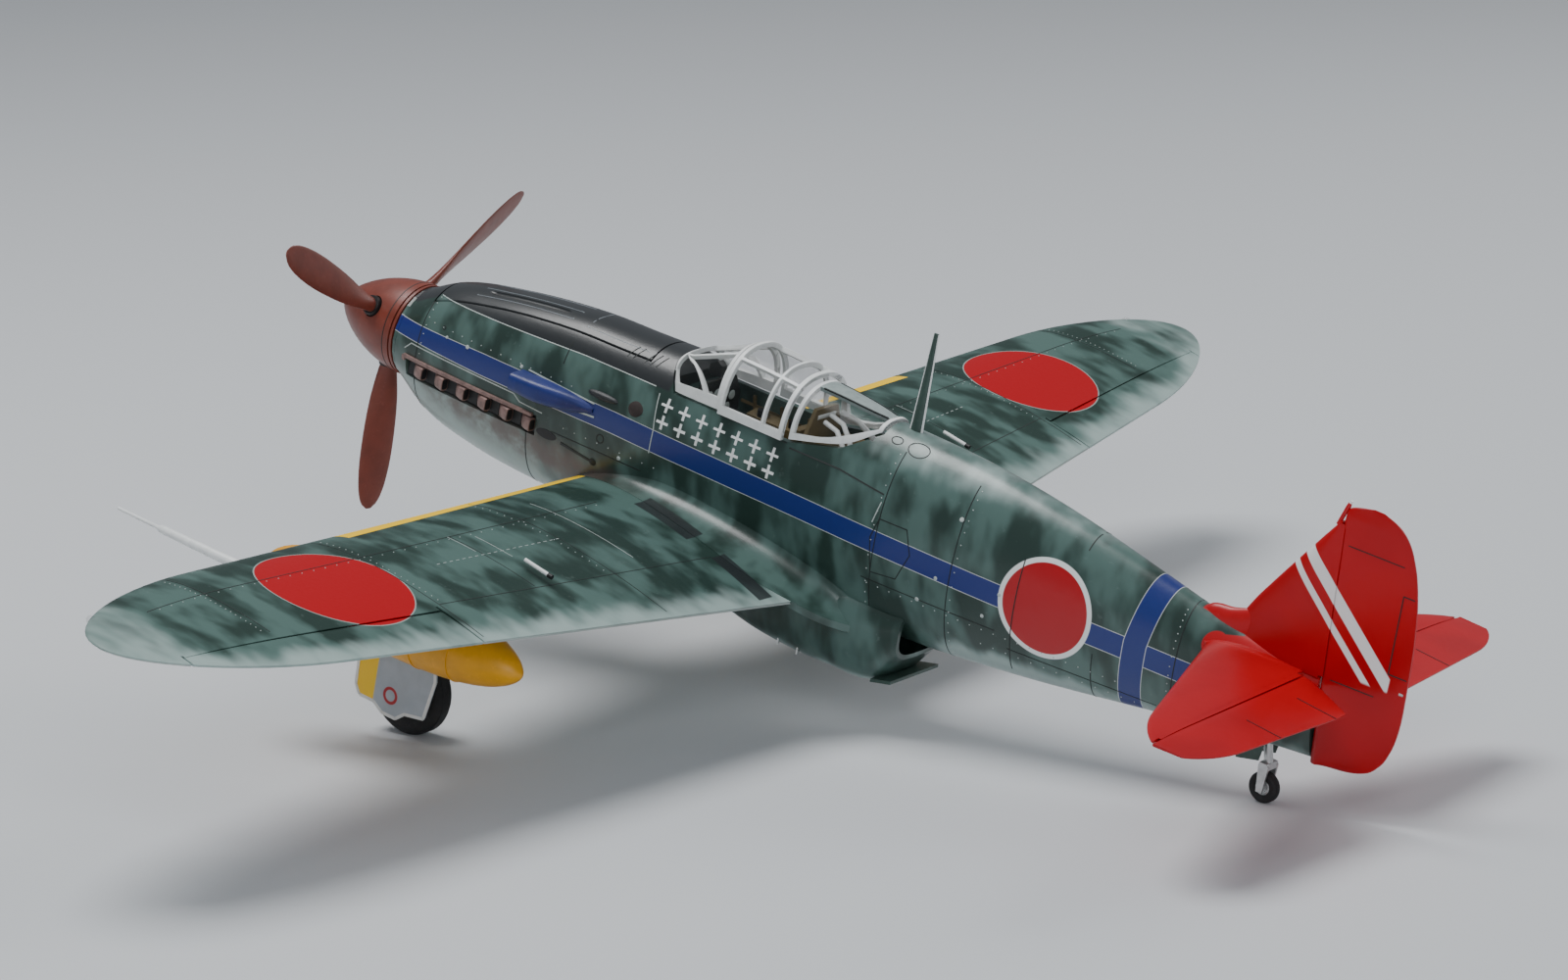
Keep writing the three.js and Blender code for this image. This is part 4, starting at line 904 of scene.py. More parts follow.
ROUND = 96
COWL = {"from": 1.0, "to": 2.9, "half": 0.24}
COCKPIT_SILL = [
    (3.08, 0.64), (3.2, 0.47), (4.17, 0.47), (4.56, 0.56), (4.8, 0.722), (4.8, 1.3), (3.08, 1.3),
]
FLOOR_Z = -0.11
GUN = {"y": 0.12, "from": 1.35, "to": 2.1, "half": 0.028}
EXHAUST = {"from": 0.92, "to": 2.14, "low": -0.19, "high": -0.07, "first": 0.99, "last": 2.02, "count": 6}
LINE = 0.0075  # width of a panel line


def body_ring(s):
    port, starboard = skin(1), skin(-1)
    ring = []
    for i in range(ROUND):
        around = 360 * i / ROUND - 90
        ring.append(starboard(s, 180 - around) if around > 90 else port(s, around))
    return ring


def top_skin(s, y, lift=0.0):
    """The top of the fuselage, by station and distance from the middle."""
    half, top, _, widest, squareness = along(FUSELAGE, s)
    z = widest + (top - widest) * (1 - (abs(y) / half) ** squareness) ** (1 / squareness)
    return at(s, y, z + lift)


def top_side(side):
    return lambda s, y, lift=0.0: top_skin(s, side * y, lift)


def exhaust_strip(side, margin, depth, proud):
    """A block that follows the nose's side behind the exhausts."""
    low, high = EXHAUST["low"] - margin, EXHAUST["high"] + margin
    rings = []
    for s in spread(EXHAUST["from"] - margin, EXHAUST["to"] + margin, 14):
        reach = along(FUSELAGE, s)[0]
        inner, outer = side * (reach - depth), side * (reach + proud)
        rings.append([at(s, inner, low), at(s, outer, low), at(s, outer, high), at(s, inner, high)])
    return rings


def cockpit_well():
    rings = []
    for s in spread(3.14, 4.76, 18):
        half, top = along(FUSELAGE, s)[:2]
        ring = [at(s, y, FLOOR_Z) for y in (-half * 0.9, half * 0.9)]
        walls = [(half_width(s, min(z, top * 0.8)) - SKIN, z) for z in spread(0.0, 1.0, 8)]
        ring += [at(s, y, z) for y, z in walls]
        ring += [at(s, -y, z) for y, z in reversed(walls)]
        rings.append(ring)
    return Solid().loft(rings)


def gun_trough(y):
    rings = []
    for s in spread(GUN["from"], GUN["to"], 14):
        end = min(s - GUN["from"], GUN["to"] - s)
        wide = GUN["half"] * math.sqrt(min(1, end / 0.03 + 0.05))
        z = along(FUSELAGE, s)[1] - 0.004
        turns = spread(0, 5.9, 16)
        rings.append([at(s, y + wide * math.cos(a), z + 0.9 * wide * math.sin(a)) for a in turns])
    return Solid().loft(rings)


def make_fuselage():
    hull = Solid().loft([body_ring(s) for s in spread(NOSE, TAIL_END, 110)])
    obj = hull.shape("fuselage_shell", "fuselage")
    front, rear, half = COWL["from"], COWL["to"], COWL["half"]
    stations, reaches = spread(front - GAP, rear + GAP, 24), spread(-half - GAP, half + GAP, 13)
    carve(obj, Solid().slab(top_skin, stations, reaches, -SKIN - GAP, 0.15))
    carve(obj, Solid().loft(across(COCKPIT_SILL, -1, 1)))
    carve(obj, cockpit_well())
    for side in BOTH_SIDES.values():
        carve(obj, Solid().loft(exhaust_strip(side, GAP, 0.16, 0.1)))
    settle(obj, "fuselage", "fuselage_left", "fuselage_right")

    cover = Solid().slab(top_skin, spread(front, rear, 40), spread(-half, half, 25), -SKIN, 0)
    cowl = cover.shape("nose_top_panel", "fuselage")
    barrels = Solid()
    for y in (GUN["y"], -GUN["y"]):
        carve(cowl, gun_trough(y))
        z = [along(FUSELAGE, s)[1] for s in (1.37, 2.08)]
        barrels.rod((1.37, y, z[0] - 0.025, 0.012), (2.08, y, z[1] - 0.028, 0.014), sides=12)
    settle(cowl, "fuselage", "gun_cowl", slot="anti_glare")
    barrels.piece("gun_barrels", "black")


def surface_step(surface, u, v):
    """A point on a surface with its outward normal."""
    here = surface(u, v, 0.0)
    return here, (surface(u, v, 0.02) - here).normalized()


def walk(surface, corners, step=0.06):
    """Points and normals along straight runs between (u, v) corners of a surface."""
    path = []
    for (ua, va), (ub, vb) in zip(corners, corners[1:]):
        count = max(2, int(math.hypot(ub - ua, vb - va) / step) + 1)
        path += [surface_step(surface, lerp(ua, ub, t), lerp(va, vb, t)) for t in spread(0, 1, count)]
    return path


def ring_path(surface, u, v, radius, stretch=1.0, count=24):
    """A closed round line on a surface, stretched along its second direction."""
    turns = spread(0, 2 * math.pi, count + 1)
    spots = [(u + radius * math.cos(a), v + stretch * radius * math.sin(a)) for a in turns]
    return [surface_step(surface, *spot) for spot in spots]


# Lines round the body: station, and the turns at which each starts and ends.
BODY_JOINTS = [
    (1.0, -88, 50), (2.08, -70, -16), (2.28, 28, 48), (5.02, -80, 60), (5.62, -80, 60),
    (6.12, -60, 25), (6.5, 55, 86), (6.72, -80, -20), (7.3, -80, 88),
]
# Lines along the side, as (station, height) corners: dark ones, then pale lines that paint highlights on
# panel edges.
SIDE_LINES = [
    [(4.95, -0.2), (6.0, -0.2)],
    [(2.3, -0.12), (3.1, -0.12)],
    [(6.1, -0.3), (7.2, -0.3)],
    [(4.98, 0.1), (5.02, 0.24), (5.24, 0.24), (5.3, 0.08), (5.22, -0.12), (5.02, -0.14), (4.98, 0.1)],
]
PALE_HIGHLIGHT_LINES = [
    [(0.88, -0.01), (0.94, 0.045), (1.24, 0.04), (1.93, 0.03), (1.99, -0.01), (2.2, -0.02)],
    [(3.1, 0.44), (3.14, 0.2), (3.14, 0.03)],
    [(5.0, 0.35), (4.97, 0.2)],
]
TOP_LINES = [
    [(1.3, 0.065), (1.3, 0.175), (2.15, 0.175), (2.15, 0.065), (1.3, 0.065)],
    [(2.3, 0.0), (2.3, 0.2), (2.85, 0.2)],
]
LOUVRES = (0, 1, 3, 4, 5)


def make_fuselage_lines():
    lines, highlight_strips, cowl_top = Solid(), Solid(), Solid()
    for side in BOTH_SIDES.values():
        surface, side_of, top_of = skin(side), flank(side), top_side(side)
        for s, low, high in BODY_JOINTS:
            lines.strip([surface_step(surface, s, turn) for turn in spread(low, high, 26)], LINE)
        for corners in SIDE_LINES:
            lines.strip(walk(side_of, corners), LINE)
        lines.strip(walk(side_of, [(4.2, 0.44), (4.62, 0.44), (5.0, 0.4)]), LINE * 1.4)
        # A dark strip, and a dark disc that stands for a hole: painted shade.
        lines.strip(walk(side_of, [(2.39, -0.178), (2.66, -0.212)]), 0.03)
        lines.dome(*surface_step(side_of, 2.68, -0.214), 0.032, 0.004, 20)
        for s, z, radius in ((2.72, -0.02, 0.03), (1.2, 0.25, 0.012)):
            lines.strip(ring_path(side_of, s, z, radius), LINE)
        for s, turn, radius in ((4.91, 66.5, 0.042), (5.09, 66, 0.08)):
            lines.strip(ring_path(surface, s, turn, radius, 95, 28), LINE)
        # Pale strips that paint highlights on panel edges and along the nose's shoulder.
        for corners in PALE_HIGHLIGHT_LINES:
            highlight_strips.strip(walk(side_of, corners), LINE)
        shoulder = [(s, 0.408 + 0.045 * min(1.4, s - 1.0)) for s in spread(1.02, 3.05, 24)]
        highlight_strips.strip(walk(side_of, shoulder), LINE * 0.8)
        for s in (2.72 + 0.05 * i for i in LOUVRES):
            lines.strip(walk(top_of, [(s, 0.27), (s + 0.04, 0.19)], 0.02), 0.009)
        for corners in TOP_LINES:
            cowl_top.strip(walk(top_of, corners), LINE * 0.6)
    lines.piece("fuselage_panel_lines", "line")
    cowl_top.piece("nose_panel_lines", "grey", slot="underside_grey")
    highlight_strips.piece("painted_edge_highlights", "pale")


RIVET_ROWS = [(0.25, 1.1, 2.4), (-0.23, 5.0, 6.9), (-0.34, 5.9, 7.6), (-0.06, 2.4, 3.2)]
FASTENERS = [
    (1.45, 0.2, 0.016), (1.25, 0.2, 0.012), (5.6, 0.44, 0.018), (5.52, 0.0, 0.014), (6.0, 0.06, 0.014),
    (5.9, -0.13, 0.014), (5.4, -0.2, 0.016), (2.9, -0.1, 0.016), (1.95, 0.235, 0.014),
]


def make_rivets():
    dots = Solid()
    for side in BOTH_SIDES.values():
        surface, side_of = skin(side), flank(side)
        for s in (1.03, 4.99, 5.65, 7.27):
            for turn in range(-72, 64, 8):
                dots.dome(*surface_step(surface, s, turn), 0.005, 0.003, 6)
        for z, start, end in RIVET_ROWS:
            for s in spread(start, end, int((end - start) / 0.085)):
                dots.dome(*surface_step(side_of, s, z), 0.005, 0.003, 6)
        for s, z, radius in FASTENERS:
            dots.dome(*surface_step(side_of, s, z), radius, 0.006, 12)
    dots.piece("fuselage_fasteners", "pale")


# A stub's outline and its mouth's: distance aft, proud of the side, half the width.
STUB = [(0.0, -0.05, 0.03), (0.03, -0.022, 0.034), (0.07, -0.004, 0.036), (0.115, 0.006, 0.036)]
STUB_MOUTH = [(0.1, 0.004, 0.027), (0.1165, 0.0065, 0.027)]


def stub_ring(side, s, low, high, stop):
    """A slice across a stub: a rounded box."""
    aft, proud, wide = stop
    reach = along(FUSELAGE, s)[0] + proud
    ring = []
    for a in circle_turns(24):
        y = side * (reach + wide * super_power(math.cos(a), 4))
        ring.append(at(s + aft, y, (low + high) / 2 + (high - low) / 2 * super_power(math.sin(a), 4)))
    return ring


def make_exhausts():
    low, high = EXHAUST["low"] + 0.014, EXHAUST["high"] - 0.012
    for word, side in BOTH_SIDES.items():
        recess = Solid().loft(exhaust_strip(side, 0, 0.1, -0.035))
        recess.piece(f"exhaust_recess_{word}", "black")
        # Black caps in the stubs' mouths and black blocks in the gaps between stubs stand for openings:
        # painted shade.
        stubs, opening_shade = Solid(), Solid()
        for s in spread(EXHAUST["first"], EXHAUST["last"], EXHAUST["count"]):
            stubs.loft([stub_ring(side, s, low, high, stop) for stop in STUB])
            opening_shade.loft([stub_ring(side, s, low + 0.01, high - 0.01, stop) for stop in STUB_MOUTH])
            if s < EXHAUST["last"] - 0.01:
                y = side * (along(FUSELAGE, s)[0] - 0.03)
                gap = [at(s + ds, y, z) for ds, z in ((0.125, low), (0.2, low), (0.2, high), (0.125, high))]
                opening_shade.loft([gap, [p + PORT * side * 0.012 * SCALE for p in gap]])
        stubs.piece(f"exhausts_{word}", "exhaust", f"exhaust_stack_{word}")
        opening_shade.piece(f"exhaust_opening_shade_{word}", "black")
        side_of = flank(side)
        start, end, edge = EXHAUST["from"] - 0.03, EXHAUST["to"] - 0.02, EXHAUST["high"] + 0.012
        rim = walk(side_of, [(start, edge - 0.035), (start, edge), (end, edge)])
        lip = Solid().strip(rim, 0.024, 0.018, -0.02)
        lip.piece(f"exhaust_fairing_{word}", "exhaust")
        ring = ring_path(side_of, 2.26, -0.155, 0.09, 0.034 / 0.09, 32)[:-1]
        outlet = Solid().loft([[p + n * lift * SCALE for p, n in ring] for lift in (-0.01, 0.002)])
        outlet.piece(f"exhaust_outlet_{word}", "black")


INTAKE = [  # station, reach, lower and upper height
    (1.97, 0.56, 0.09, 0.22), (2.2, 0.56, 0.08, 0.225), (2.45, 0.49, 0.09, 0.21), (2.62, 0.43, 0.12, 0.18),
]
INTAKE_CORNER = 0.045


def intake_ring(s, reach, low, high, inset=0.0, inner=0.3):
    """A slice across the scoop: square towards the fuselage, rounded outside."""
    ring = [at(s, inner, low + inset)]
    y = reach - inset - INTAKE_CORNER
    for z, start in ((low + inset + INTAKE_CORNER, -90), (high - inset - INTAKE_CORNER, 0)):
        for a in map(math.radians, spread(start, start + 90, 6)):
            ring.append(at(s, y + INTAKE_CORNER * math.cos(a), z + INTAKE_CORNER * math.sin(a)))
    return [*ring, at(s, inner, high - inset)]


def make_intake():
    scoop = Solid().loft([intake_ring(s, *along(INTAKE, s)) for s in spread(1.97, 2.62, 22)])
    obj = scoop.shape("air_scoop", "blue")
    carve(obj, Solid().loft([intake_ring(s, 0.56, 0.09, 0.22, 0.018, 0.4) for s in (1.9, 2.16)]))
    settle(obj, "blue", "supercharger_intake")
    # A black plate at the back of the scoop's mouth: painted shade inside the intake.
    dark = Solid().loft([intake_ring(s, 0.56, 0.09, 0.22, 0.019, 0.4) for s in (2.1, 2.155)])
    dark.piece("air_scoop_mouth_shade", "black")
    # Pale strips along the scoop's top and bottom edges; the top one is a painted highlight.
    edge_strips = Solid()
    edge_strips.strip(walk(flank(1), [(2.02, 0.235), (2.62, 0.2)]), 0.01, 0.006)
    edge_strips.strip(walk(flank(1), [(2.02, 0.075), (2.64, 0.11)]), 0.012, 0.006)
    edge_strips.piece("air_scoop_edge_strips", "pale")


def make_bulges():
    for word, side in BOTH_SIDES.items():
        rings = []
        for share in spread(0, 1, 17):
            swell = max(0.05, math.sin(math.pi * share) ** 0.35) * SCALE
            centre = flank(side)(lerp(2.54, 2.81, share), 0.272, -0.006)
            wide, tall = PORT * side * 0.034 * swell, UPWARD * 0.028 * swell
            rings.append([centre + wide * math.cos(a) + tall * math.sin(a) for a in circle_turns(18)])
        Solid().loft(rings).piece(f"nose_bulge_{word}", "charcoal")
        cap = Solid().dome(*surface_step(flank(side), 2.96, 0.29), 0.062, 0.008, 28)
        cap.piece(f"filler_cap_{word}", "soot")


# ---- wings ----

LIP = 0.005  # thickness of the skin that laps over a moving surface's nose


def wing_half(side, level, inner):
    rings = []
    for y in rib_row(WING, inner, 22):
        outer = [panel(WING, side, level)(y, x) for x in CHORD]
        middle = [panel(WING, side, 0)(y, x) for x in reversed(CHORD[1:-1])]
        rings.append(outer + middle)
    return rings


def aileron_gap(side):
    corners = []
    for y in (AILERON["inner"] - GAP, AILERON["outer"] + GAP):
        corners.append((aileron_hinge(y) - aileron_nose(y) - GAP, side * y))
    corners += [(BEHIND_WING, y) for _, y in reversed(corners)]
    return Solid().loft(upright(corners, -1.2, 0.8))


def flap_ring(hinge, nose, rear, height, half, place):
    """A moving surface's outline: a round nose, then the profile down to its rear edge."""
    points = []
    for turn in map(math.radians, spread(90, 270, 11)):
        points.append(place(hinge + nose * math.cos(turn), height(hinge) + nose * math.sin(turn)))
    lower = [lerp(hinge, rear, t) for t in spread(0, 1, 9)[1:]]
    points += [place(s, height(s) - half(s)) for s in lower]
    points += [place(s, height(s) + half(s)) for s in reversed(lower)]
    return points


def aileron_ring(side, y):
    rear = rib(WING, y)[1]
    hinge, nose = aileron_hinge(y), aileron_nose(y)
    start = half_thickness(WING, y, chord_share(WING, y, hinge))

    def height(s):
        return surface_z(WING, y, chord_share(WING, y, s), 0)

    def half(s):
        t = (s - hinge) / (rear - hinge)
        full = half_thickness(WING, y, min(1, chord_share(WING, y, s)))
        return max(0.004, full * min(1, 0.93 + 0.07 * t) * min(1, nose / (0.9 * start) + t))

    return flap_ring(hinge, nose, rear, height, half, lambda s, z: at(s, side * y, z))


def shroud_ring(surface, y, start, end, thickness):
    """A slice of the thin skin that laps over a moving surface's nose."""
    row = spread(start, end, 4)
    return [surface(y, s, 0.0) for s in row] + [surface(y, s, -thickness) for s in reversed(row)]


def make_wings():
    inner, outer = AILERON["inner"], AILERON["outer"]
    for word, side in BOTH_SIDES.items():
        upper = Solid().loft(wing_half(side, 1, 0.3)).shape(f"wing_top_{word}", "wing")
        carve(upper, aileron_gap(side))
        settle(upper, "wing", f"wing_upper_{word}")
        aileron = Solid().loft([aileron_ring(side, y) for y in spread(inner, outer, 24)])
        aileron.piece(f"aileron_skin_{word}", "wing", f"aileron_{word}", body=f"aileron_{word}")
        for level, paint, place in ((1, "wing", "top"), (-1, "underside", "bottom")):
            rings = []
            for y in spread(inner + 0.003, outer - 0.003, 40):
                hinge, nose = aileron_hinge(y), aileron_nose(y)
                start, end = hinge - nose - GAP - 0.012, hinge - 0.45 * nose
                rings.append(shroud_ring(plan(WING, side, level), y, start, end, LIP))
            Solid().loft(rings).piece(f"aileron_shroud_{word}_{place}", paint)
    port, starboard = wing_half(1, -1, 0.01), wing_half(-1, -1, 0.01)
    lower = Solid().loft(list(reversed(port)) + starboard).shape("wing_bottom", "underside")
    for side in BOTH_SIDES.values():
        carve(lower, aileron_gap(side))
    settle(lower, "underside", "wing_lower")


# Where the fillet meets the wing and the fuselage: station, reach, upper and lower height.
FILLET = [
    (2.62, 0.44, -0.32, -0.36), (2.7, 0.47, -0.28, -0.36), (3.2, 0.58, -0.1, -0.3),
    (3.8, 0.68, -0.12, -0.34), (4.4, 0.70, -0.2, -0.45), (4.68, 0.6, -0.26, -0.49),
    (4.86, 0.46, -0.34, -0.52), (4.96, 0.32, -0.42, -0.54),
]


def wing_top_z(s, y):
    front, rear = rib(WING, y)[:2]
    share = (s - front) / (rear - front)
    if share > 1:
        return surface_z(WING, y, 1, 1) - (s - rear) * 0.35
    return surface_z(WING, y, max(0.0, share), 1)


def bend(start, elbow, end, count):
    """Points of a curve from start to end that leans towards the elbow."""
    points = []
    for t in spread(0, 1, count):
        shares = (1 - t) ** 2, 2 * t * (1 - t), t * t
        points.append([sum(w * p[k] for w, p in zip(shares, (start, elbow, end))) for k in (0, 1)])
    return points


def make_fillets():
    for word, side in BOTH_SIDES.items():
        rings = []
        for s in spread(FILLET[0][0], FILLET[-1][0], 44):
            out, up, low = along(FILLET, s)
            foot = wing_top_z(s, out) + 0.002
            elbow = (half_width(s, low) + 0.02, lerp(foot, up, 0.04))
            curve = bend((half_width(s, up) - 0.012, up), elbow, (out, foot), 12)
            curve += [(out, foot - 0.05), (0.25, low - 0.12), (0.25, up)]
            rings.append([at(s, side * y, z) for y, z in curve])
        Solid().loft(rings).piece(f"wing_root_fairing_{word}", "fuselage", f"wing_fillet_{word}")


CHORD_LINES = [(1.75, 0.06, 0.97), (2.5, 0.3, 0.72), (3.4, 0.05, 0.97), (4.85, 0.06, 0.72)]
SPAN_LINES = [(0.3, 0.95, 5.4), (0.73, 0.8, 3.4)]
# Pale lines across the wing's top: y, and the shares of the chord where each starts and ends.
PALE_WING_LINES = [(1.42, 0.2, 0.66), (2.32, 0.34, 0.52), (2.52, 0.3, 0.44)]


def make_wing_lines():
    lines, dots, pale = Solid(), Solid(), Solid()
    for side in BOTH_SIDES.values():
        for level in (1, -1):
            shares = panel(WING, side, level)
            for y, start, end in CHORD_LINES:
                lines.strip([surface_step(shares, y, x) for x in spread(start, end, 22)], LINE * 0.8)
            for x, start, end in SPAN_LINES:
                lines.strip([surface_step(shares, y, x) for y in spread(start, end, 50)], LINE * 0.8)
            rivets = [(y, x) for y in (1.8, 3.36, 4.9) for x in spread(0.08, 0.7, 20)]
            rivets += [(y, 0.32) for y in spread(1.0, 5.3, 40)]
            for y, x in rivets:
                dots.dome(*surface_step(shares, y, x), 0.0045, 0.003, 6)
        top = panel(WING, side, 1)
        for y in (1.75 + i * 0.062 for i in range(20)):
            pale.strip([surface_step(top, y + d, 0.47) for d in (0, 0.015, 0.03)], 0.005)
        for y, start, end in PALE_WING_LINES:
            pale.strip([surface_step(top, y, x) for x in spread(start, end, 30)], 0.004)
    lines.piece("wing_panel_lines", "line")
    dots.piece("wing_fasteners", "pale")
    pale.piece("wing_walk_marks", "pale")


# ---- tail ----


def elevator_ring(side, y):
    rear = rib(TAILPLANE, y)[1]
    if y < 0.33:
        rear = lerp(ELEVATOR["root_rear"], rib(TAILPLANE, 0.33)[1], (y - 0.13) / 0.2)
    hinge, nose = ELEVATOR["hinge"], elevator_nose(y)
    return flap_ring(
        hinge, nose, rear,
        lambda s: TAILPLANE["z"],
        lambda s: lerp(nose, 0.004, (s - hinge) / (rear - hinge)),
        lambda s, z: at(s, side * y, z),
    )


def tab_line(side, y):
    """The line at one end of an elevator's trim tab, on its top."""
    hinge, rear = ELEVATOR["hinge"], rib(TAILPLANE, y)[1]
    heights = [(s, lerp(elevator_nose(y), 0.004, (s - hinge) / (rear - hinge))) for s in (8.34, 8.44, rear)]
    return [(at(s, side * y, TAILPLANE["z"] + up + 0.001), UPWARD) for s, up in heights]


def make_tailplanes():
    hinge = ELEVATOR["hinge"]
    for word, side in BOTH_SIDES.items():
        upper, lower = panel(TAILPLANE, side, 1), panel(TAILPLANE, side, -1)
        rings = []
        for y in rib_row(TAILPLANE, 0.075, 14):
            limit = chord_share(TAILPLANE, y, hinge - elevator_nose(y) - GAP)
            if limit < 0.05:
                break
            shares = [x * min(1, limit) for x in CHORD]
            rings.append([upper(y, x) for x in shares] + [lower(y, x) for x in reversed(shares[1:])])
        Solid().loft(rings).piece(f"tailplane_skin_{word}", "tail", f"tailplane_{word}")
        rows = spread(ELEVATOR["inner"], 1.0, 10)
        rows += [1.0 + 0.89 * math.sin(a) for a in spread(0.05, math.pi / 2, 22)]
        elevator = Solid().loft([elevator_ring(side, y) for y in rows])
        elevator.piece(f"elevator_skin_{word}", "tail", f"elevator_{word}", body=f"elevator_{word}")
        for level, place in ((1, "top"), (-1, "bottom")):
            rings = []
            for y in spread(ELEVATOR["inner"] + 0.01, 1.8, 40):
                nose = elevator_nose(y)
                start, end = hinge - nose - GAP - 0.012, hinge - 0.5 * nose
                rings.append(shroud_ring(plan(TAILPLANE, side, level), y, start, end, 0.7 * LIP))
            Solid().loft(rings).piece(f"elevator_shroud_{word}_{place}", "tail")
        tabs = Solid()
        for y in (0.45, 1.05):
            tabs.strip(tab_line(side, y), LINE)
        tabs.piece(f"elevator_tab_lines_{word}", "line", body=f"elevator_{word}")


FIN_SHARE = [(0, 0.02), (0.02, 0.25), (0.12, 0.65), (0.45, 1.1), (1, 1)]


def rudder_half(z):
    """Half the rudder's thickness, station by station, at a height."""
    rear, aft = along(RUDDER, z)
    front, nose = rudder_hinge(z) + aft, rudder_nose(z)
    return lambda s: lerp(nose, 0.006, min(1, max(0, (s - front) / (rear - front))) ** 0.85)


def rudder_ring(z):
    rear, aft = along(RUDDER, z)
    thin = math.sqrt(max(0.04, (1.482 - z) / 0.102)) if z > 1.38 else 1
    half = rudder_half(z)
    return flap_ring(
        rudder_hinge(z) + aft, rudder_nose(z) * thin, rear,
        lambda s: 0,
        lambda s: half(s) * thin,
        lambda s, y: at(s, y, z),
    )


def rudder_side(side):
    return lambda s, z, lift=0.0: at(s, side * (rudder_half(z)(s) + lift + 0.001), z)


def make_fin():
    rings = []
    for z in spread(0.3, 1.33, 40):
        front, rear = along(FIN, z)[0], rudder_hinge(z) - rudder_nose(z) - GAP
        half = rudder_nose(z) * 1.05
        port = [(lerp(front, rear, t), along(FIN_SHARE, t)[0] * half) for t in CHORD]
        rings.append([at(s, y, z) for s, y in port] + [at(s, -y, z) for s, y in reversed(port[1:])])
    Solid().loft(rings).piece("fin_skin", "tail", "fin")
    heights = [lerp(-0.255, 1.478, 0.5 - 0.5 * math.cos(math.pi * i / 90)) for i in range(91)]
    Solid().loft([rudder_ring(z) for z in heights]).piece("rudder_skin", "tail", "rudder", body="rudder")
    lines, shroud = Solid(), Solid()
    for side in BOTH_SIDES.values():
        surface = rudder_side(side)
        lines.strip(walk(surface, [(8.83, 0.5), (8.7, 0.5), (8.68, 1.02), (8.76, 1.02)]), LINE)
        for z in (0.32, 1.2):
            lines.strip(walk(surface, [(rudder_hinge(z) + 0.03, z), (8.64, z)]), LINE * 0.8)
        rings = []
        for z in spread(0.32, 1.32, 30):
            nose = rudder_nose(z)
            outer, inner = nose * 1.05, nose * 1.05 - LIP * 0.8
            start, end = rudder_hinge(z) - nose - GAP - 0.01, rudder_hinge(z) - nose * 0.5
            corners = ((start, outer), (end, outer), (end, inner), (start, inner))
            rings.append([at(s, side * y, z) for s, y in corners])
        shroud.loft(rings)
    lines.piece("rudder_tab_lines", "line", body="rudder")
    shroud.piece("fin_shroud", "tail")
    post = Solid().rod((8.12, 0, 1.3, 0.014), (8.165, 0, 1.44, 0.016), (8.17, 0, 1.46, 0.012), sides=12)
    post.piece("fin_antenna_post", "red")
    cap = Solid().rod((8.17, 0, 1.458, 0.011), (8.178, 0, 1.478, 0.009), sides=12)
    cap.piece("fin_antenna_cap", "white")


FIN_ROOT = [  # station, top, half the width
    (7.33, 0.43, 0.02), (7.37, 0.468, 0.042), (7.43, 0.49, 0.052), (7.52, 0.5, 0.054), (7.62, 0.53, 0.048),
    (7.74, 0.57, 0.034),
]
TAIL_ROOT = {"from": 7.45, "to": 8.13, "up": 0.055, "out": 0.075}


def tail_root_ring(side, s):
    """A slice of the fairing where a tailplane meets the fuselage."""
    level = TAILPLANE["z"]
    t = (s - TAIL_ROOT["from"]) / (TAIL_ROOT["to"] - TAIL_ROOT["from"])
    swell = math.sin(math.pi * min(1, t * 1.6) / 2) ** 0.6 * (1 - 0.45 * t)
    up, low = TAIL_ROOT["up"] * swell, half_width(s, level)
    reach = low + TAIL_ROOT["out"] * swell + 0.004
    share = min(0.98, max(0.001, chord_share(TAILPLANE, reach, s)))
    foot = surface_z(TAILPLANE, reach, share, 1)
    start = (half_width(s, level + up) - 0.01, level + up)
    curve = bend(start, (low + 0.012, foot + up * 0.2), (reach, foot), 9)
    curve += [(reach, level - 0.02), (low * 0.7, level - 0.03)]
    return [at(s, side * y, z) for y, z in curve]


def make_tail_fairings():
    """Rounded fairings ahead of the fin, and where the tailplanes meet the fuselage."""
    rings = []
    for s in spread(FIN_ROOT[0][0], FIN_ROOT[-1][0], 26):
        top, half = along(FIN_ROOT, s)
        base = along(FUSELAGE, s)[1] - 0.03
        turns = spread(0, math.pi, 17)
        rings.append([at(s, half * math.cos(a), base + (top - base) * math.sin(a)) for a in turns])
    Solid().loft(rings).piece("fin_root_fairing", "red")
    for word, side in BOTH_SIDES.items():
        stations = spread(TAIL_ROOT["from"], TAIL_ROOT["to"], 30)
        fairing = Solid().loft([tail_root_ring(side, s) for s in stations])
        fairing.piece(f"tail_root_fairing_{word}", "red")

# ---- canopy and cockpit ----

WINDSCREEN = {"front": 3.12, "rear": 3.58, "top": (0.705, 0.91), "square": (2.9, 2.4)}
SLIDE = {"front": 3.6, "rear": 4.14, "half": 0.365, "top": (0.92, 0.885), "base": 0.478, "square": 2.4}
REAR_CANOPY = [  # station, sill, top, squareness
    (4.17, 0.49, 0.845, 2.3), (4.4, 0.543, 0.832, 2.2), (4.6, 0.606, 0.813, 2.1), (4.78, 0.73, 0.79, 2.0),
]
FRAME = (-0.027, 0.008)  # how far a frame reaches in from the glass and out of it
RIM = (-0.03, 0.004)  # the same for the frames of the rear canopy


def arch_point(s, half, top, base, squareness, angle, lift):
    turn = math.radians(angle)
    y = (half + lift) * super_power(math.cos(turn), squareness)
    z = base + (top + lift - base) * max(0, math.sin(turn)) ** (2 / squareness)
    return at(s, y, z)


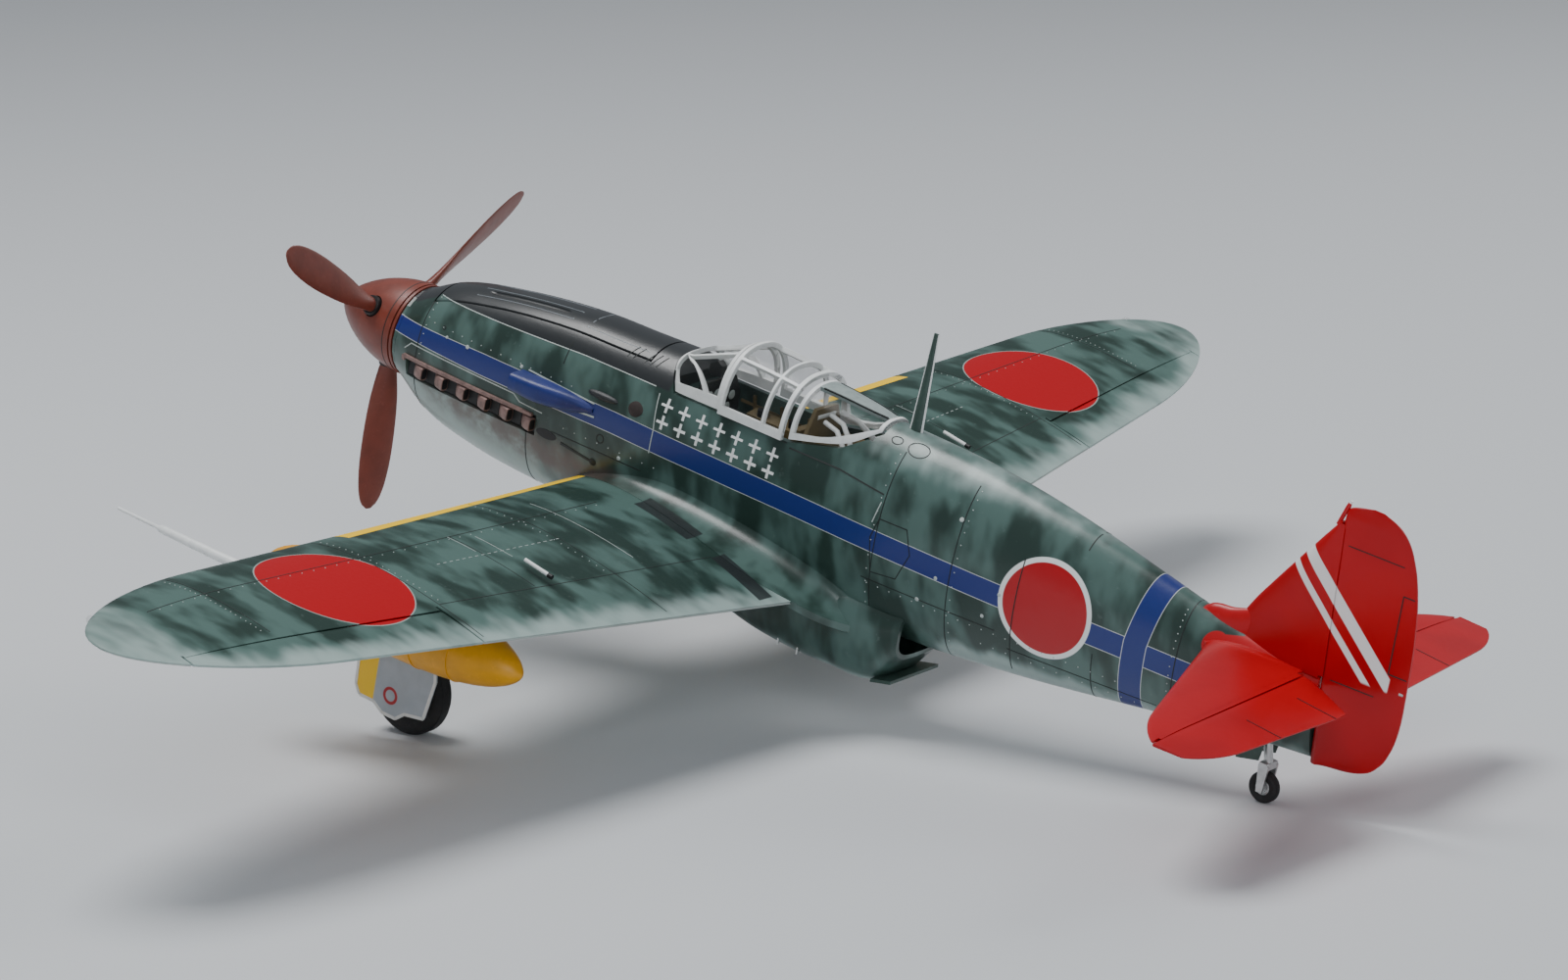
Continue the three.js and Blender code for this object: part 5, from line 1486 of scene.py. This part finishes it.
def windscreen_skin(s, angle, lift=0.0):
    front, rear = WINDSCREEN["front"], WINDSCREEN["rear"]
    share = (s - front) / (rear - front)
    sill = lerp(0.6, 0.49, smooth((s - front) / 0.1))
    top, squareness = lerp(*WINDSCREEN["top"], share), lerp(*WINDSCREEN["square"], share)
    return arch_point(s, half_width(s, sill), top, sill, squareness, angle, lift)


def slide_skin(s, angle, lift=0.0):
    share = (s - SLIDE["front"]) / (SLIDE["rear"] - SLIDE["front"])
    top = lerp(*SLIDE["top"], share) + 0.024 * share * (1 - share)
    return arch_point(s, SLIDE["half"], top, SLIDE["base"], SLIDE["square"], angle, lift)


def rear_skin(s, angle, lift=0.0):
    sill, top, squareness = along(REAR_CANOPY, s)
    return arch_point(s, half_width(s, sill), top, sill, squareness, angle, lift)


def frame_run(solid, surface, start, end, width, bend_power):
    """A frame bar across a curved pane, from one (station, angle) to another."""
    inner, outer = FRAME
    corners = ((-width, outer), (width, outer), (width, inner), (-width, inner))
    rings = []
    for t in spread(0, 1, 14):
        s, angle = lerp(start[0], end[0], t**bend_power), lerp(start[1], end[1], t)
        rings.append([surface(s + d, angle, lift) for d, lift in corners])
    solid.loft(rings)


def make_windscreen(angles):
    first, last = WINDSCREEN["front"], WINDSCREEN["rear"]
    screen = Solid().slab(windscreen_skin, spread(first, last, 14), angles, -GLASS, 0)
    screen.piece("windscreen_glass", "glass", "windscreen")
    frames = Solid()
    for low, high in ((3.553, last), (first, 3.142)):
        frames.slab(windscreen_skin, spread(low, high, 3), angles, *FRAME)
    for low, high in ((0, 8), (172, 180), (59, 63), (117, 121)):
        frames.slab(windscreen_skin, spread(3.13, 3.57, 12), spread(low, high, 4), *FRAME)
    for high, low in ((58, 5), (122, 175)):
        frame_run(frames, windscreen_skin, (3.16, high), (3.46, low), 0.014, 0.75)
    frames.piece("windscreen_frames", "white", slot="camouflage")


def make_sliding_canopy(angles):
    first, last = SLIDE["front"], SLIDE["rear"]
    glass = Solid().slab(slide_skin, spread(first, last, 10), angles, -GLASS, 0)
    glass.piece("sliding_canopy_glass", "glass", "sliding_canopy", body="canopy")
    frames = Solid()
    for low, high in ((first, first + 0.026), (3.959, 3.977), (last - 0.03, last)):
        frames.slab(slide_skin, spread(low, high, 3), angles, *FRAME)
    for low, high in ((0, 5.5), (174.5, 180), (54, 57.5), (122.5, 126)):
        frames.slab(slide_skin, spread(first, last, 10), spread(low, high, 4), *FRAME)
    frames.piece("sliding_canopy_frames", "white", body="canopy", slot="camouflage")


def make_rear_canopy(angles):
    first, last = REAR_CANOPY[0][0], REAR_CANOPY[-1][0]
    glass = Solid().slab(rear_skin, spread(first, last, 18), angles, -GLASS, 0)
    glass.piece("rear_canopy_glass", "glass", "rear_canopy")
    frames = Solid()
    for low, high in ((first, first + 0.027), (last - 0.026, last)):
        frames.slab(rear_skin, spread(low, high, 3), angles, *RIM)
    inner, outer = RIM
    for sill, way in ((0, 1), (180, -1)):
        rings = []
        for s in spread(first, last, 20):
            wide = lerp(5.5, 21, smooth((s - 4.35) / 0.43))
            turns = spread(sill, sill + way * wide, 5)
            under = [rear_skin(s, a, inner) for a in reversed(turns)]
            rings.append([rear_skin(s, a, outer) for a in turns] + under)
        frames.loft(rings)
    frames.piece("rear_canopy_frames", "white", slot="camouflage")
    roof_edges = (75, 105)
    roof = Solid().slab(rear_skin, spread(first + 0.027, last - 0.02, 12), spread(*roof_edges, 7), *RIM)
    roof.piece("rear_canopy_roof", "roof")
    seals = Solid()
    for angle in roof_edges:
        seals.strip([surface_step(rear_skin, s, angle) for s in spread(4.23, 4.74, 12)], LINE * 1.3, 0.008)
    for side in BOTH_SIDES.values():
        seals.strip(walk(flank(side), [(3.6, 0.462), (4.17, 0.462)]), LINE, 0.003)
    seals.piece("canopy_seals", "line")


def make_canopy():
    angles = spread(0, 180, 37)
    make_windscreen(angles)
    make_sliding_canopy(angles)
    make_rear_canopy(angles)


CONSOLE = [(0.2, 0.2), (0.31, 0.2), (0.31, 0.34), (0.2, 0.32)]  # y, z
# Control boxes: centre and radius; then the throttle lever's stops, in the same form.
CONTROL_BOXES = [
    (3.5, 0.25, 0.34, 0.03), (3.6, 0.25, 0.34, 0.03), (3.75, 0.26, 0.34, 0.04),
    (3.55, -0.25, 0.34, 0.04), (3.8, -0.26, 0.34, 0.03),
]
THROTTLE = [
    (3.58, 0.27, 0.34, 0.008), (3.55, 0.25, 0.44, 0.008),
    (3.55, 0.25, 0.45, 0.018), (3.55, 0.25, 0.47, 0.018),
]
DIAL_STATION = 3.331
DIALS = [  # y, z, radius
    (-0.16, 0.42, 0.035), (-0.08, 0.45, 0.04), (0.01, 0.45, 0.045), (0.1, 0.45, 0.04),
    (0.18, 0.42, 0.035), (-0.12, 0.34, 0.035), (0.0, 0.34, 0.04), (0.12, 0.34, 0.035),
]
HEADREST_TUBE = [(4.3, 0, 0), (4.42, 0.02, 0.02), (4.52, 0.06, 0.1), (4.56, 0.08, 0.17)]  # s, outward, down
STRAP = [(4.12, 0.46), (4.08, 0.3), (4.0, 0.14)]  # s, z


def inner_wall(side, s, z):
    """A point on the cockpit's inner wall, with the way into the cockpit."""
    return at(s, side * (half_width(s, z) - SKIN - 0.004), z), PORT * -side


def make_cockpit():
    tub = Solid()
    for side in BOTH_SIDES.values():
        for z in (0.1, 0.22, 0.34):
            tub.strip([inner_wall(side, s, z) for s in spread(3.3, 4.15, 12)], 0.02, 0.012)
        for s in (3.42, 3.66, 3.9, 4.14):
            tub.strip([inner_wall(side, s, z) for z in spread(-0.05, 0.42, 8)], 0.02, 0.014)
        tub.loft(lengthwise([(side * y, z) for y, z in CONSOLE], 3.45, 3.9))
    tub.piece("cockpit_ribs", "tan")
    boxes = Solid()
    for s, y, z, size in CONTROL_BOXES:
        boxes.rod((s, y, z - 0.02, size), (s, y, z + 0.03, size), sides=12)
    boxes.rod(*THROTTLE, sides=10)
    boxes.piece("cockpit_controls", "black")
    dials = Solid()
    for y, z, radius in DIALS:
        dials.dome(at(DIAL_STATION, y, z), -FORWARD, radius, 0.008, 16)
    dials.piece("instrument_dials", "pale")
    pipes = Solid()
    for side in BOTH_SIDES.values():
        for y, z in ((0.06, 0.66), (0.12, 0.62)):
            stops = [(s, side * (y + outward), z - down, 0.018) for s, outward, down in HEADREST_TUBE]
            pipes.rod(*stops, sides=12)
    pipes.rod((4.2, -0.1, 0.62, 0.03), (4.2, 0.1, 0.62, 0.03))
    pipes.piece("headrest_tubes", "white", slot="underside_grey")
    belts = Solid()
    for y in (-0.09, 0.09):
        belts.strip([(at(s, y, z), FORWARD) for s, z in STRAP], 0.03, 0.008)
    belts.piece("seat_straps", "pale")


# ---- propeller ----

SPINNER = {"radius": 0.34, "length": 0.7}
BLADE = [  # share of the radius, chord, thickness, pitch
    (0.1, 0.11, 0.11, 50), (0.215, 0.11, 0.1, 46), (0.27, 0.14, 0.075, 41), (0.42, 0.21, 0.05, 30),
    (0.6, 0.25, 0.034, 23), (0.8, 0.245, 0.024, 19), (0.93, 0.18, 0.016, 17), (0.975, 0.115, 0.013, 16),
    (0.995, 0.045, 0.01, 16),
]
COLLAR = ((0.2, 0.074), (0.322, 0.074), (0.345, 0.068))  # distance out, radius
BLADES = 3
PROP_RADIUS = 1.48
FIRST_BLADE = 58.5
CONE_STEPS = 40


def spinner_radius(share):
    return SPINNER["radius"] * (1 - (1 - share) ** 1.9) ** 0.75


def band(inner, outer, start, end):
    """The profile of a square-edged ring, for turning."""
    return [(inner, start), (outer, start), (outer, end), (inner, end)]


def blade_out(index):
    angle = math.radians(FIRST_BLADE + 360 / BLADES * index)
    return PORT * -math.sin(angle) + UPWARD * math.cos(angle)


def blade_ring(hub, out, share):
    """A slice across a blade: a thin oval, turned by its pitch."""
    chord, thickness, pitch = along(BLADE, share)
    centre = hub + out * share * PROP_RADIUS * SCALE
    angle = math.radians(pitch)
    line = FORWARD.cross(out) * math.cos(angle) + FORWARD * math.sin(angle)
    over = out.cross(line)
    return [
        centre + (line * math.cos(a) * chord + over * math.sin(a) * thickness) * SCALE / 2
        for a in circle_turns(28)
    ]


def make_propeller():
    shares = [(i / CONE_STEPS) ** 2 for i in range(CONE_STEPS + 1)]
    profile = [(spinner_radius(t), t * SPINNER["length"]) for t in shares]
    cone = Solid().turned([*profile, (POINT, SPINNER["length"])], SPINNER_TIP, -FORWARD, 96)
    obj = cone.shape("spinner_cone", "brown")
    hub = at(HUB_STATION, 0, 0)
    for index in range(BLADES):
        out = blade_out(index) * SCALE
        carve(obj, Solid().bar([(hub + out * 0.15, 0.082), (hub + out * 0.45, 0.082)], 32))
    settle(obj, "brown", "spinner", body="propeller")
    back = Solid().turned(band(0.06, SPINNER["radius"], 0.714, 0.735), SPINNER_TIP, -FORWARD, 96)
    back.piece("spinner_rear_disc", "brown", "spinner_backplate", body="propeller")
    for index in range(BLADES):
        out, number = blade_out(index), index + 1
        blade = Solid().loft([blade_ring(hub, out, share) for share in spread(0.1, 0.995, 44)])
        blade.piece(f"blade_skin_{number}", "brown", f"propeller_blade_{number}", body="propeller")
        collar = Solid().bar([(hub + out * r * SCALE, radius) for r, radius in COLLAR], 32)
        collar.piece(f"blade_collar_{number}", "black", body="propeller")
    edge = spinner_radius(0.93)
    seam = Solid().turned(band(edge - 0.01, edge + 0.001, 0.645, 0.652), SPINNER_TIP, -FORWARD, 96)
    seam.piece("spinner_seam", "line", body="propeller")


# ---- belly ----

DUCT = [  # station, half the width, top, bottom
    (3.8, 0.31, -0.4, -0.9), (4.2, 0.36, -0.36, -0.955), (4.75, 0.36, -0.34, -0.97),
    (5.16, 0.32, -0.34, -0.91), (5.3, 0.3, -0.34, -0.72),
]
DUCT_WALL = 0.03
DUCT_SQUARE = 3.2


def duct_ring(s, inset):
    half, top, bottom = along(DUCT, s)
    middle, deep = (top + bottom) / 2, (top - bottom) / 2 - inset
    ring = []
    for a in circle_turns(48):
        y = (half - inset) * super_power(math.cos(a), DUCT_SQUARE)
        ring.append(at(s, y, middle + deep * super_power(math.sin(a), DUCT_SQUARE)))
    return ring


def make_radiator():
    front, rear = DUCT[0][0], DUCT[-1][0]
    housing = Solid().loft([duct_ring(s, 0) for s in spread(front, rear, 40)])
    obj = housing.shape("radiator_housing", "fuselage")
    carve(obj, Solid().loft([duct_ring(s, DUCT_WALL) for s in (3.7, 3.85, 4.0, 4.2, 4.4)]))
    outlet = [duct_ring(s, DUCT_WALL) for s in (4.54, 4.8, 5.0, 5.16, rear)]
    outlet.append([p - FORWARD * 0.1 * SCALE for p in outlet[-1]])
    carve(obj, Solid().loft(outlet))
    settle(obj, "fuselage", "radiator_duct")
    grid = Solid()
    wire = 0.006
    for s in (4.385, 4.55):
        half, top, bottom = along(DUCT, s)
        for z in spread(bottom + 0.05, top - 0.05, 12):
            grid.rod((s, -half + 0.05, z, wire), (s, half - 0.05, z, wire), sides=6)
        for y in spread(-half + 0.05, half - 0.05, 14):
            grid.rod((s, y, bottom + 0.04, wire), (s, y, top - 0.04, wire), sides=6)
    grid.piece("radiator_grille", "silver")
    corners = ((-0.28, 0.012), (0.28, 0.012), (0.28, -0.012), (-0.28, -0.012))
    rings = [[at(s, y, low + up) for y, up in corners] for s, low in ((5.14, -0.9), (5.3, -0.86))]
    Solid().loft(rings).piece("radiator_flap", "green")


# ---- undercarriage ----

MAIN_WHEEL = {"s": 2.75, "y": 2.08, "z": -1.5, "radius": 0.305, "width": 0.17, "rim": 0.16}
TAIL_WHEEL = {"s": 8.03, "y": 0.0, "z": -0.56, "radius": 0.105, "width": 0.075, "rim": 0.05}
HUB_FACE = [(0, 0.62), (0.3, 0.8), (0.35, 0.5), (0.8, 0.45), (0.92, 0.72), (1, 0.7)]  # of rim, of half width
TREAD_LINES = (-0.4, 0, 0.4)
BOLTS = 8
LEG_Y, COVER_Y, COVER_THICK = 2.195, 2.255, 0.026
GEAR_COVER = [  # s, z
    (2.54, -0.45), (2.5, -0.95), (2.42, -1.3), (2.43, -1.54), (2.47, -1.6), (2.6, -1.6), (2.68, -1.65),
    (2.8, -1.65), (2.87, -1.59), (3.03, -1.56), (3.08, -1.28), (3.02, -0.95), (3.0, -0.45),
]
BRAKE_HOSE = [(2.74, -0.5), (2.72, -0.95), (2.68, -1.2), (2.72, -1.44)]  # s, z


def mirrored(profile):
    """A profile of (radius, distance) from one face, followed by the same on the other."""
    return [(r, -d) for r, d in profile] + [(r, d) for r, d in reversed(profile)]


def make_wheel(name, wheel, side, body, tyre_node, hub_node, sides):
    radius, half, rim = wheel["radius"], wheel["width"] / 2, wheel["rim"]
    centre = at(wheel["s"], side * wheel["y"], wheel["z"])
    face = [(rim, half * 0.7), (radius * 0.6, half * 0.92), (radius * 0.8, half)]
    for a in spread(0.15, 1.45, 9):
        face.append((radius * (0.8 + 0.2 * math.sin(a)), half * math.cos(a) ** 0.8))
    tyre = Solid().turned(mirrored(face), centre, PORT, sides)
    for lane in TREAD_LINES:
        line = band(radius * 0.97, radius * 0.998, lane * half - 0.004, lane * half + 0.004)
        tyre.turned(line, centre, PORT, sides)
    tyre.piece(f"{name}_tyre", "tyre", tyre_node, body=body)
    dish = Solid().turned(mirrored([(max(POINT, rim * r), half * d) for r, d in HUB_FACE]), centre, PORT)
    for a in circle_turns(BOLTS):
        spot = centre + (UPWARD * math.cos(a) + FORWARD * math.sin(a)) * rim * 0.6 * SCALE
        for way in (1, -1):
            dish.dome(spot + PORT * way * half * 0.47 * SCALE, PORT * way, rim * 0.09, 0.01, 10)
    dish.piece(f"{name}_hub", "silver", hub_node, body=body)


def inner_face(side, spots):
    """Points on the inner face of a leg cover, each with the way out of the face."""
    return [(at(s, side * COVER_Y, z), PORT * -side) for s, z in spots]


def outer_face(side, spots):
    return [(at(s, side * (COVER_Y + COVER_THICK), z), PORT * side) for s, z in spots]


def make_leg(side):
    """A main leg: strut, collar, piston, axle and the two links behind."""
    out, s, z = side * LEG_Y, MAIN_WHEEL["s"], MAIN_WHEEL["z"]
    top_z = surface_z(WING, LEG_Y, 0.15, 0)
    leg = Solid()
    leg.rod((2.84, out, top_z, 0.046), (2.786, out, -1.02, 0.046), sides=24)
    leg.rod((2.79, out, -0.99, 0.052), (2.786, out, -1.03, 0.052), sides=24)
    leg.rod((2.784, out, -1.02, 0.031), (s, out, z, 0.031), (s, out, z - 0.04, 0.03), sides=24)
    leg.rod((s, out, z, 0.03), (s, side * (MAIN_WHEEL["y"] - 0.105), z, 0.03), sides=20)
    knee = (2.95, out, -1.17, 0.014)
    leg.rod((2.8, out, -1.0, 0.016), knee, sides=10)
    leg.rod(knee, (2.77, out, -1.38, 0.016), sides=10)
    return leg


def make_gear():
    for word, side in BOTH_SIDES.items():
        wheel = f"wheel_{word}"
        make_wheel(wheel, MAIN_WHEEL, side, wheel, f"main_tyre_{word}", f"main_hub_{word}", 72)
        make_leg(side).piece(f"gear_strut_{word}", "silver", f"gear_leg_{word}")
        hose = Solid().rod(*((s, side * (LEG_Y - 0.03), z, 0.008) for s, z in BRAKE_HOSE), sides=8)
        hose.piece(f"brake_hose_{word}", "black")
        cover = Solid().loft(across(GEAR_COVER, side * COVER_Y, side * (COVER_Y + COVER_THICK)))
        cover.piece(f"gear_fairing_{word}", "cover", f"gear_cover_{word}")
        ribs, lines, edge = Solid(), Solid(), Solid()
        for s in (2.62, 2.95):
            ribs.strip(inner_face(side, [(s, z) for z in spread(-0.55, -1.5, 8)]), 0.02, 0.012)
        for z in (-0.7, -0.95, -1.2):
            ribs.strip(inner_face(side, [(s, z) for s in spread(2.55, 2.98, 6)]), 0.02, 0.012)
        for z in (-0.62, -0.8):
            lines.strip(outer_face(side, [(s, z) for s in spread(2.54, 3.0, 6)]), LINE)
        for ends in zip(GEAR_COVER[1:], GEAR_COVER[2:-1]):
            edge.strip(outer_face(side, ends), 0.022, 0.003)
        ribs.piece(f"gear_fairing_ribs_{word}", "grey")
        lines.piece(f"gear_fairing_lines_{word}", "line")
        edge.piece(f"gear_fairing_edge_{word}", "white", slot="cover_grey")


def make_tail_gear():
    make_wheel("tail_wheel", TAIL_WHEEL, 1, "tail_wheel", "tail_tyre", "tail_hub", 48)
    s, z = TAIL_WHEEL["s"], TAIL_WHEEL["z"]
    fork, doors = Solid(), Solid()
    arm = [(s - 0.045, -0.4), (s + 0.03, -0.4), (s + 0.022, z - 0.025), (s - 0.022, z - 0.025)]
    bridge = [(s - 0.045, -0.425), (s + 0.03, -0.425), (s + 0.02, -0.385), (s - 0.04, -0.385)]
    door = [(7.78, -0.26), (8.02, -0.22), (8.0, -0.36), (7.84, -0.4)]
    for side in BOTH_SIDES.values():
        inner = TAIL_WHEEL["width"] / 2 + 0.012
        fork.loft(across(arm, side * inner, side * (inner + 0.018)))
        doors.loft(across(door, side * 0.1, side * 0.112))
    fork.loft(across(bridge, -0.067, 0.067))
    fork.rod((s - 0.06, 0, -0.2, 0.03), (s - 0.008, 0, -0.4, 0.03), sides=20)
    fork.rod((s, -0.06, z, 0.016), (s, 0.06, z, 0.016))
    fork.piece("tail_fork", "silver", "tailwheel_leg")
    doors.piece("tail_wheel_doors", "green")


# ---- stores and small parts ----

TANK = {"from": 1.77, "to": 3.97, "y": 2.56, "z": -0.81, "radius": 0.25, "widest": 0.4}
TANK_LENGTH = TANK["to"] - TANK["from"]
TANK_SHARES = [0.004, 0.012, 0.025, 0.045, 0.07, *spread(0.1, 0.95, 34), 0.965, 0.98, 0.99, 0.996]
TANK_SEAM = ((-0.02, -0.012), (0.006, -0.006), (0.006, 0.006), (-0.02, 0.012))  # proud, aft
PYLON = {"top": -0.36, "front": (2.72, 2.66), "rear": (3.36, 3.26), "half": 0.045, "square": 2.4}


def tank_radius(t):
    widest = TANK["widest"]
    if t < widest:
        return TANK["radius"] * math.sqrt(1 - (1 - t / widest) ** 2)
    return TANK["radius"] * (1 - ((t - widest) / (1 - widest)) ** 3.4) ** 0.6


def tank_radius_at(s):
    return tank_radius((s - TANK["from"]) / TANK_LENGTH)


def pylon_ring(y, z, t):
    start, end = lerp(*PYLON["front"], t), lerp(*PYLON["rear"], t)
    ring = []
    for a in circle_turns(32):
        s = (start + end) / 2 + (end - start) / 2 * math.cos(a)
        ring.append(at(s, y + PYLON["half"] * super_power(math.sin(a), PYLON["square"]), z))
    return ring


def make_tanks():
    for word, side in BOTH_SIDES.items():
        y = side * TANK["y"]
        centre = at(TANK["from"], y, TANK["z"])
        profile = [(tank_radius(t), t * TANK_LENGTH) for t in TANK_SHARES]
        tank = Solid().turned([(POINT, 0), *profile, (POINT, TANK_LENGTH)], centre, -FORWARD, 64)
        for s in (2.2, 2.6, 3.2, 3.5):
            seam = [(tank_radius_at(s) + proud, s - TANK["from"] + aft) for proud, aft in TANK_SEAM]
            tank.turned(seam, centre, -FORWARD, 64)
        for s in (2.35, 3.0):
            top = TANK["z"] + tank_radius_at(s)
            tank.rod((s, y, top - 0.01, 0.04), (s, y, top + 0.003, 0.04), sides=24)
        tank.piece(f"tank_skin_{word}", "yellow", f"drop_tank_{word}")
        bottom = TANK["z"] + TANK["radius"] + 0.004
        pylon = Solid().loft([pylon_ring(y, lerp(PYLON["top"], bottom, t), t) for t in spread(0, 1, 10)])
        for s in (2.8, 3.15):
            for way in (1, -1):
                foot = TANK["z"] + tank_radius_at(s) * 0.93
                pylon.rod((s, y, bottom + 0.03, 0.012), (s, y + way * 0.1, foot, 0.012), sides=8)
        pylon.piece(f"tank_mount_{word}", "grey", f"tank_pylon_{word}")


PROBE_Y = 4.08
PROBE = [(1.72, 0.011), (2.07, 0.013), (2.1, 0.027), (2.6, 0.032), (2.76, 0.036)]  # s, radius
INDICATOR_Y = 2.37
LAMP_Y = 5.72
LAMP = [(0.03, 0.03), (-0.005, 0.026), (-0.02, 0.012)]  # aft of the wing's front edge, radius
PLUS_ROWS = ((0.385, 0.028), (0.268, 0.03))  # height of a row's first mark, drop to its last
PLUS = {"first": 3.195, "step": 0.15, "count": 7, "arm": 0.048, "width": 0.02}


def make_probe():
    z = surface_z(WING, PROBE_Y, 0, 0)
    tube = Solid().rod(*((s, PROBE_Y, z, radius) for s, radius in PROBE), sides=20)
    tube.piece("air_probe_tube", "white", "air_probe")


def make_mast():
    rings = []
    for t in spread(0, 1, 14):
        s, z = lerp(4.94, 4.95, t), lerp(0.7, 1.46, t)
        length, half = lerp(0.046, 0.018, t), lerp(0.026, 0.011, t)
        rings.append([at(s + length * math.cos(a), half * math.sin(a), z) for a in circle_turns(24)])
    Solid().loft(rings).piece("mast_tube", "green", "antenna_mast")
    edges = Solid()
    for way in (1, -1):
        edges.rod((4.94 + way * 0.044, 0, 0.77, 0.009), (4.95 + way * 0.017, 0, 1.458, 0.005), sides=10)
    edges.piece("mast_edges", "white")


def make_wing_fittings():
    """The rods that stand up from the wing over the wheels, and the lamps at the tips."""
    rod_z, lamp_z = surface_z(WING, INDICATOR_Y, 0.6, 1), surface_z(WING, LAMP_Y, 0, 0)
    front = rib(WING, LAMP_Y)[0]
    for word, side in BOTH_SIDES.items():
        y = side * INDICATOR_Y
        rod = Solid().rod((3.93, y, rod_z + 0.022, 0.014), (3.7, y, rod_z + 0.055, 0.014), sides=12)
        rod.piece(f"gear_indicator_rod_{word}", "white", f"gear_indicator_{word}")
        tip = Solid().rod((3.9, y, rod_z + 0.026, 0.017), (3.935, y, rod_z + 0.021, 0.017), sides=12)
        tip.piece(f"gear_indicator_tip_{word}", "black")
        lamp = Solid().rod(*((front + aft, side * LAMP_Y, lamp_z, radius) for aft, radius in LAMP))
        lamp.piece(f"wing_lamp_{word}", "glass")


def make_plus_marks():
    marks, side_of = Solid(), flank(1)
    arm, width = PLUS["arm"], PLUS["width"]
    for top, drop in PLUS_ROWS:
        for i in range(PLUS["count"]):
            s, z = PLUS["first"] + i * PLUS["step"], top - drop * i / (PLUS["count"] - 1)
            marks.strip(walk(side_of, [(s - arm, z), (s + arm, z)], 0.02), width)
            marks.strip(walk(side_of, [(s, z - arm), (s, z + arm)], 0.02), width)
    marks.piece("side_plus_marks", "white", slot="underside_grey")


def make_small_parts():
    make_probe()
    make_mast()
    make_wing_fittings()
    lamp = Solid().rod((8.8, 0, 0.4, 0.012), (8.83, 0, 0.4, 0.01), sides=12)
    lamp.piece("tail_lamp", "pale", body="rudder")
    make_plus_marks()


CARRIED = {
    "fuselage": ["cowl_front_ring"],
    "silver": ["propeller_shaft", "propeller_bearing"],
    "black": ["radiator_core", "instrument_panel", "control_stick", "gunsight"],
    "tan": ["cockpit_floor", "seat", "rear_deck", "headrest_armour"],
    "underside": ["inner_gear_door_left", "inner_gear_door_right"],
}


def paint_carried_nodes():
    for paint, names in CARRIED.items():
        for name in names:
            materials = frame["nodes"][name].data.materials
            materials.clear()
            materials.append(PAINTS[paint])


for make in (
    make_camera, make_stage, make_fuselage, make_fuselage_lines, make_rivets, make_exhausts, make_intake,
    make_bulges, make_wings, make_fillets, make_wing_lines, make_tailplanes, make_fin, make_tail_fairings,
    make_canopy, make_cockpit, make_propeller, make_radiator, make_gear, make_tail_gear, make_tanks,
    make_small_parts, paint_carried_nodes,
):
    make()
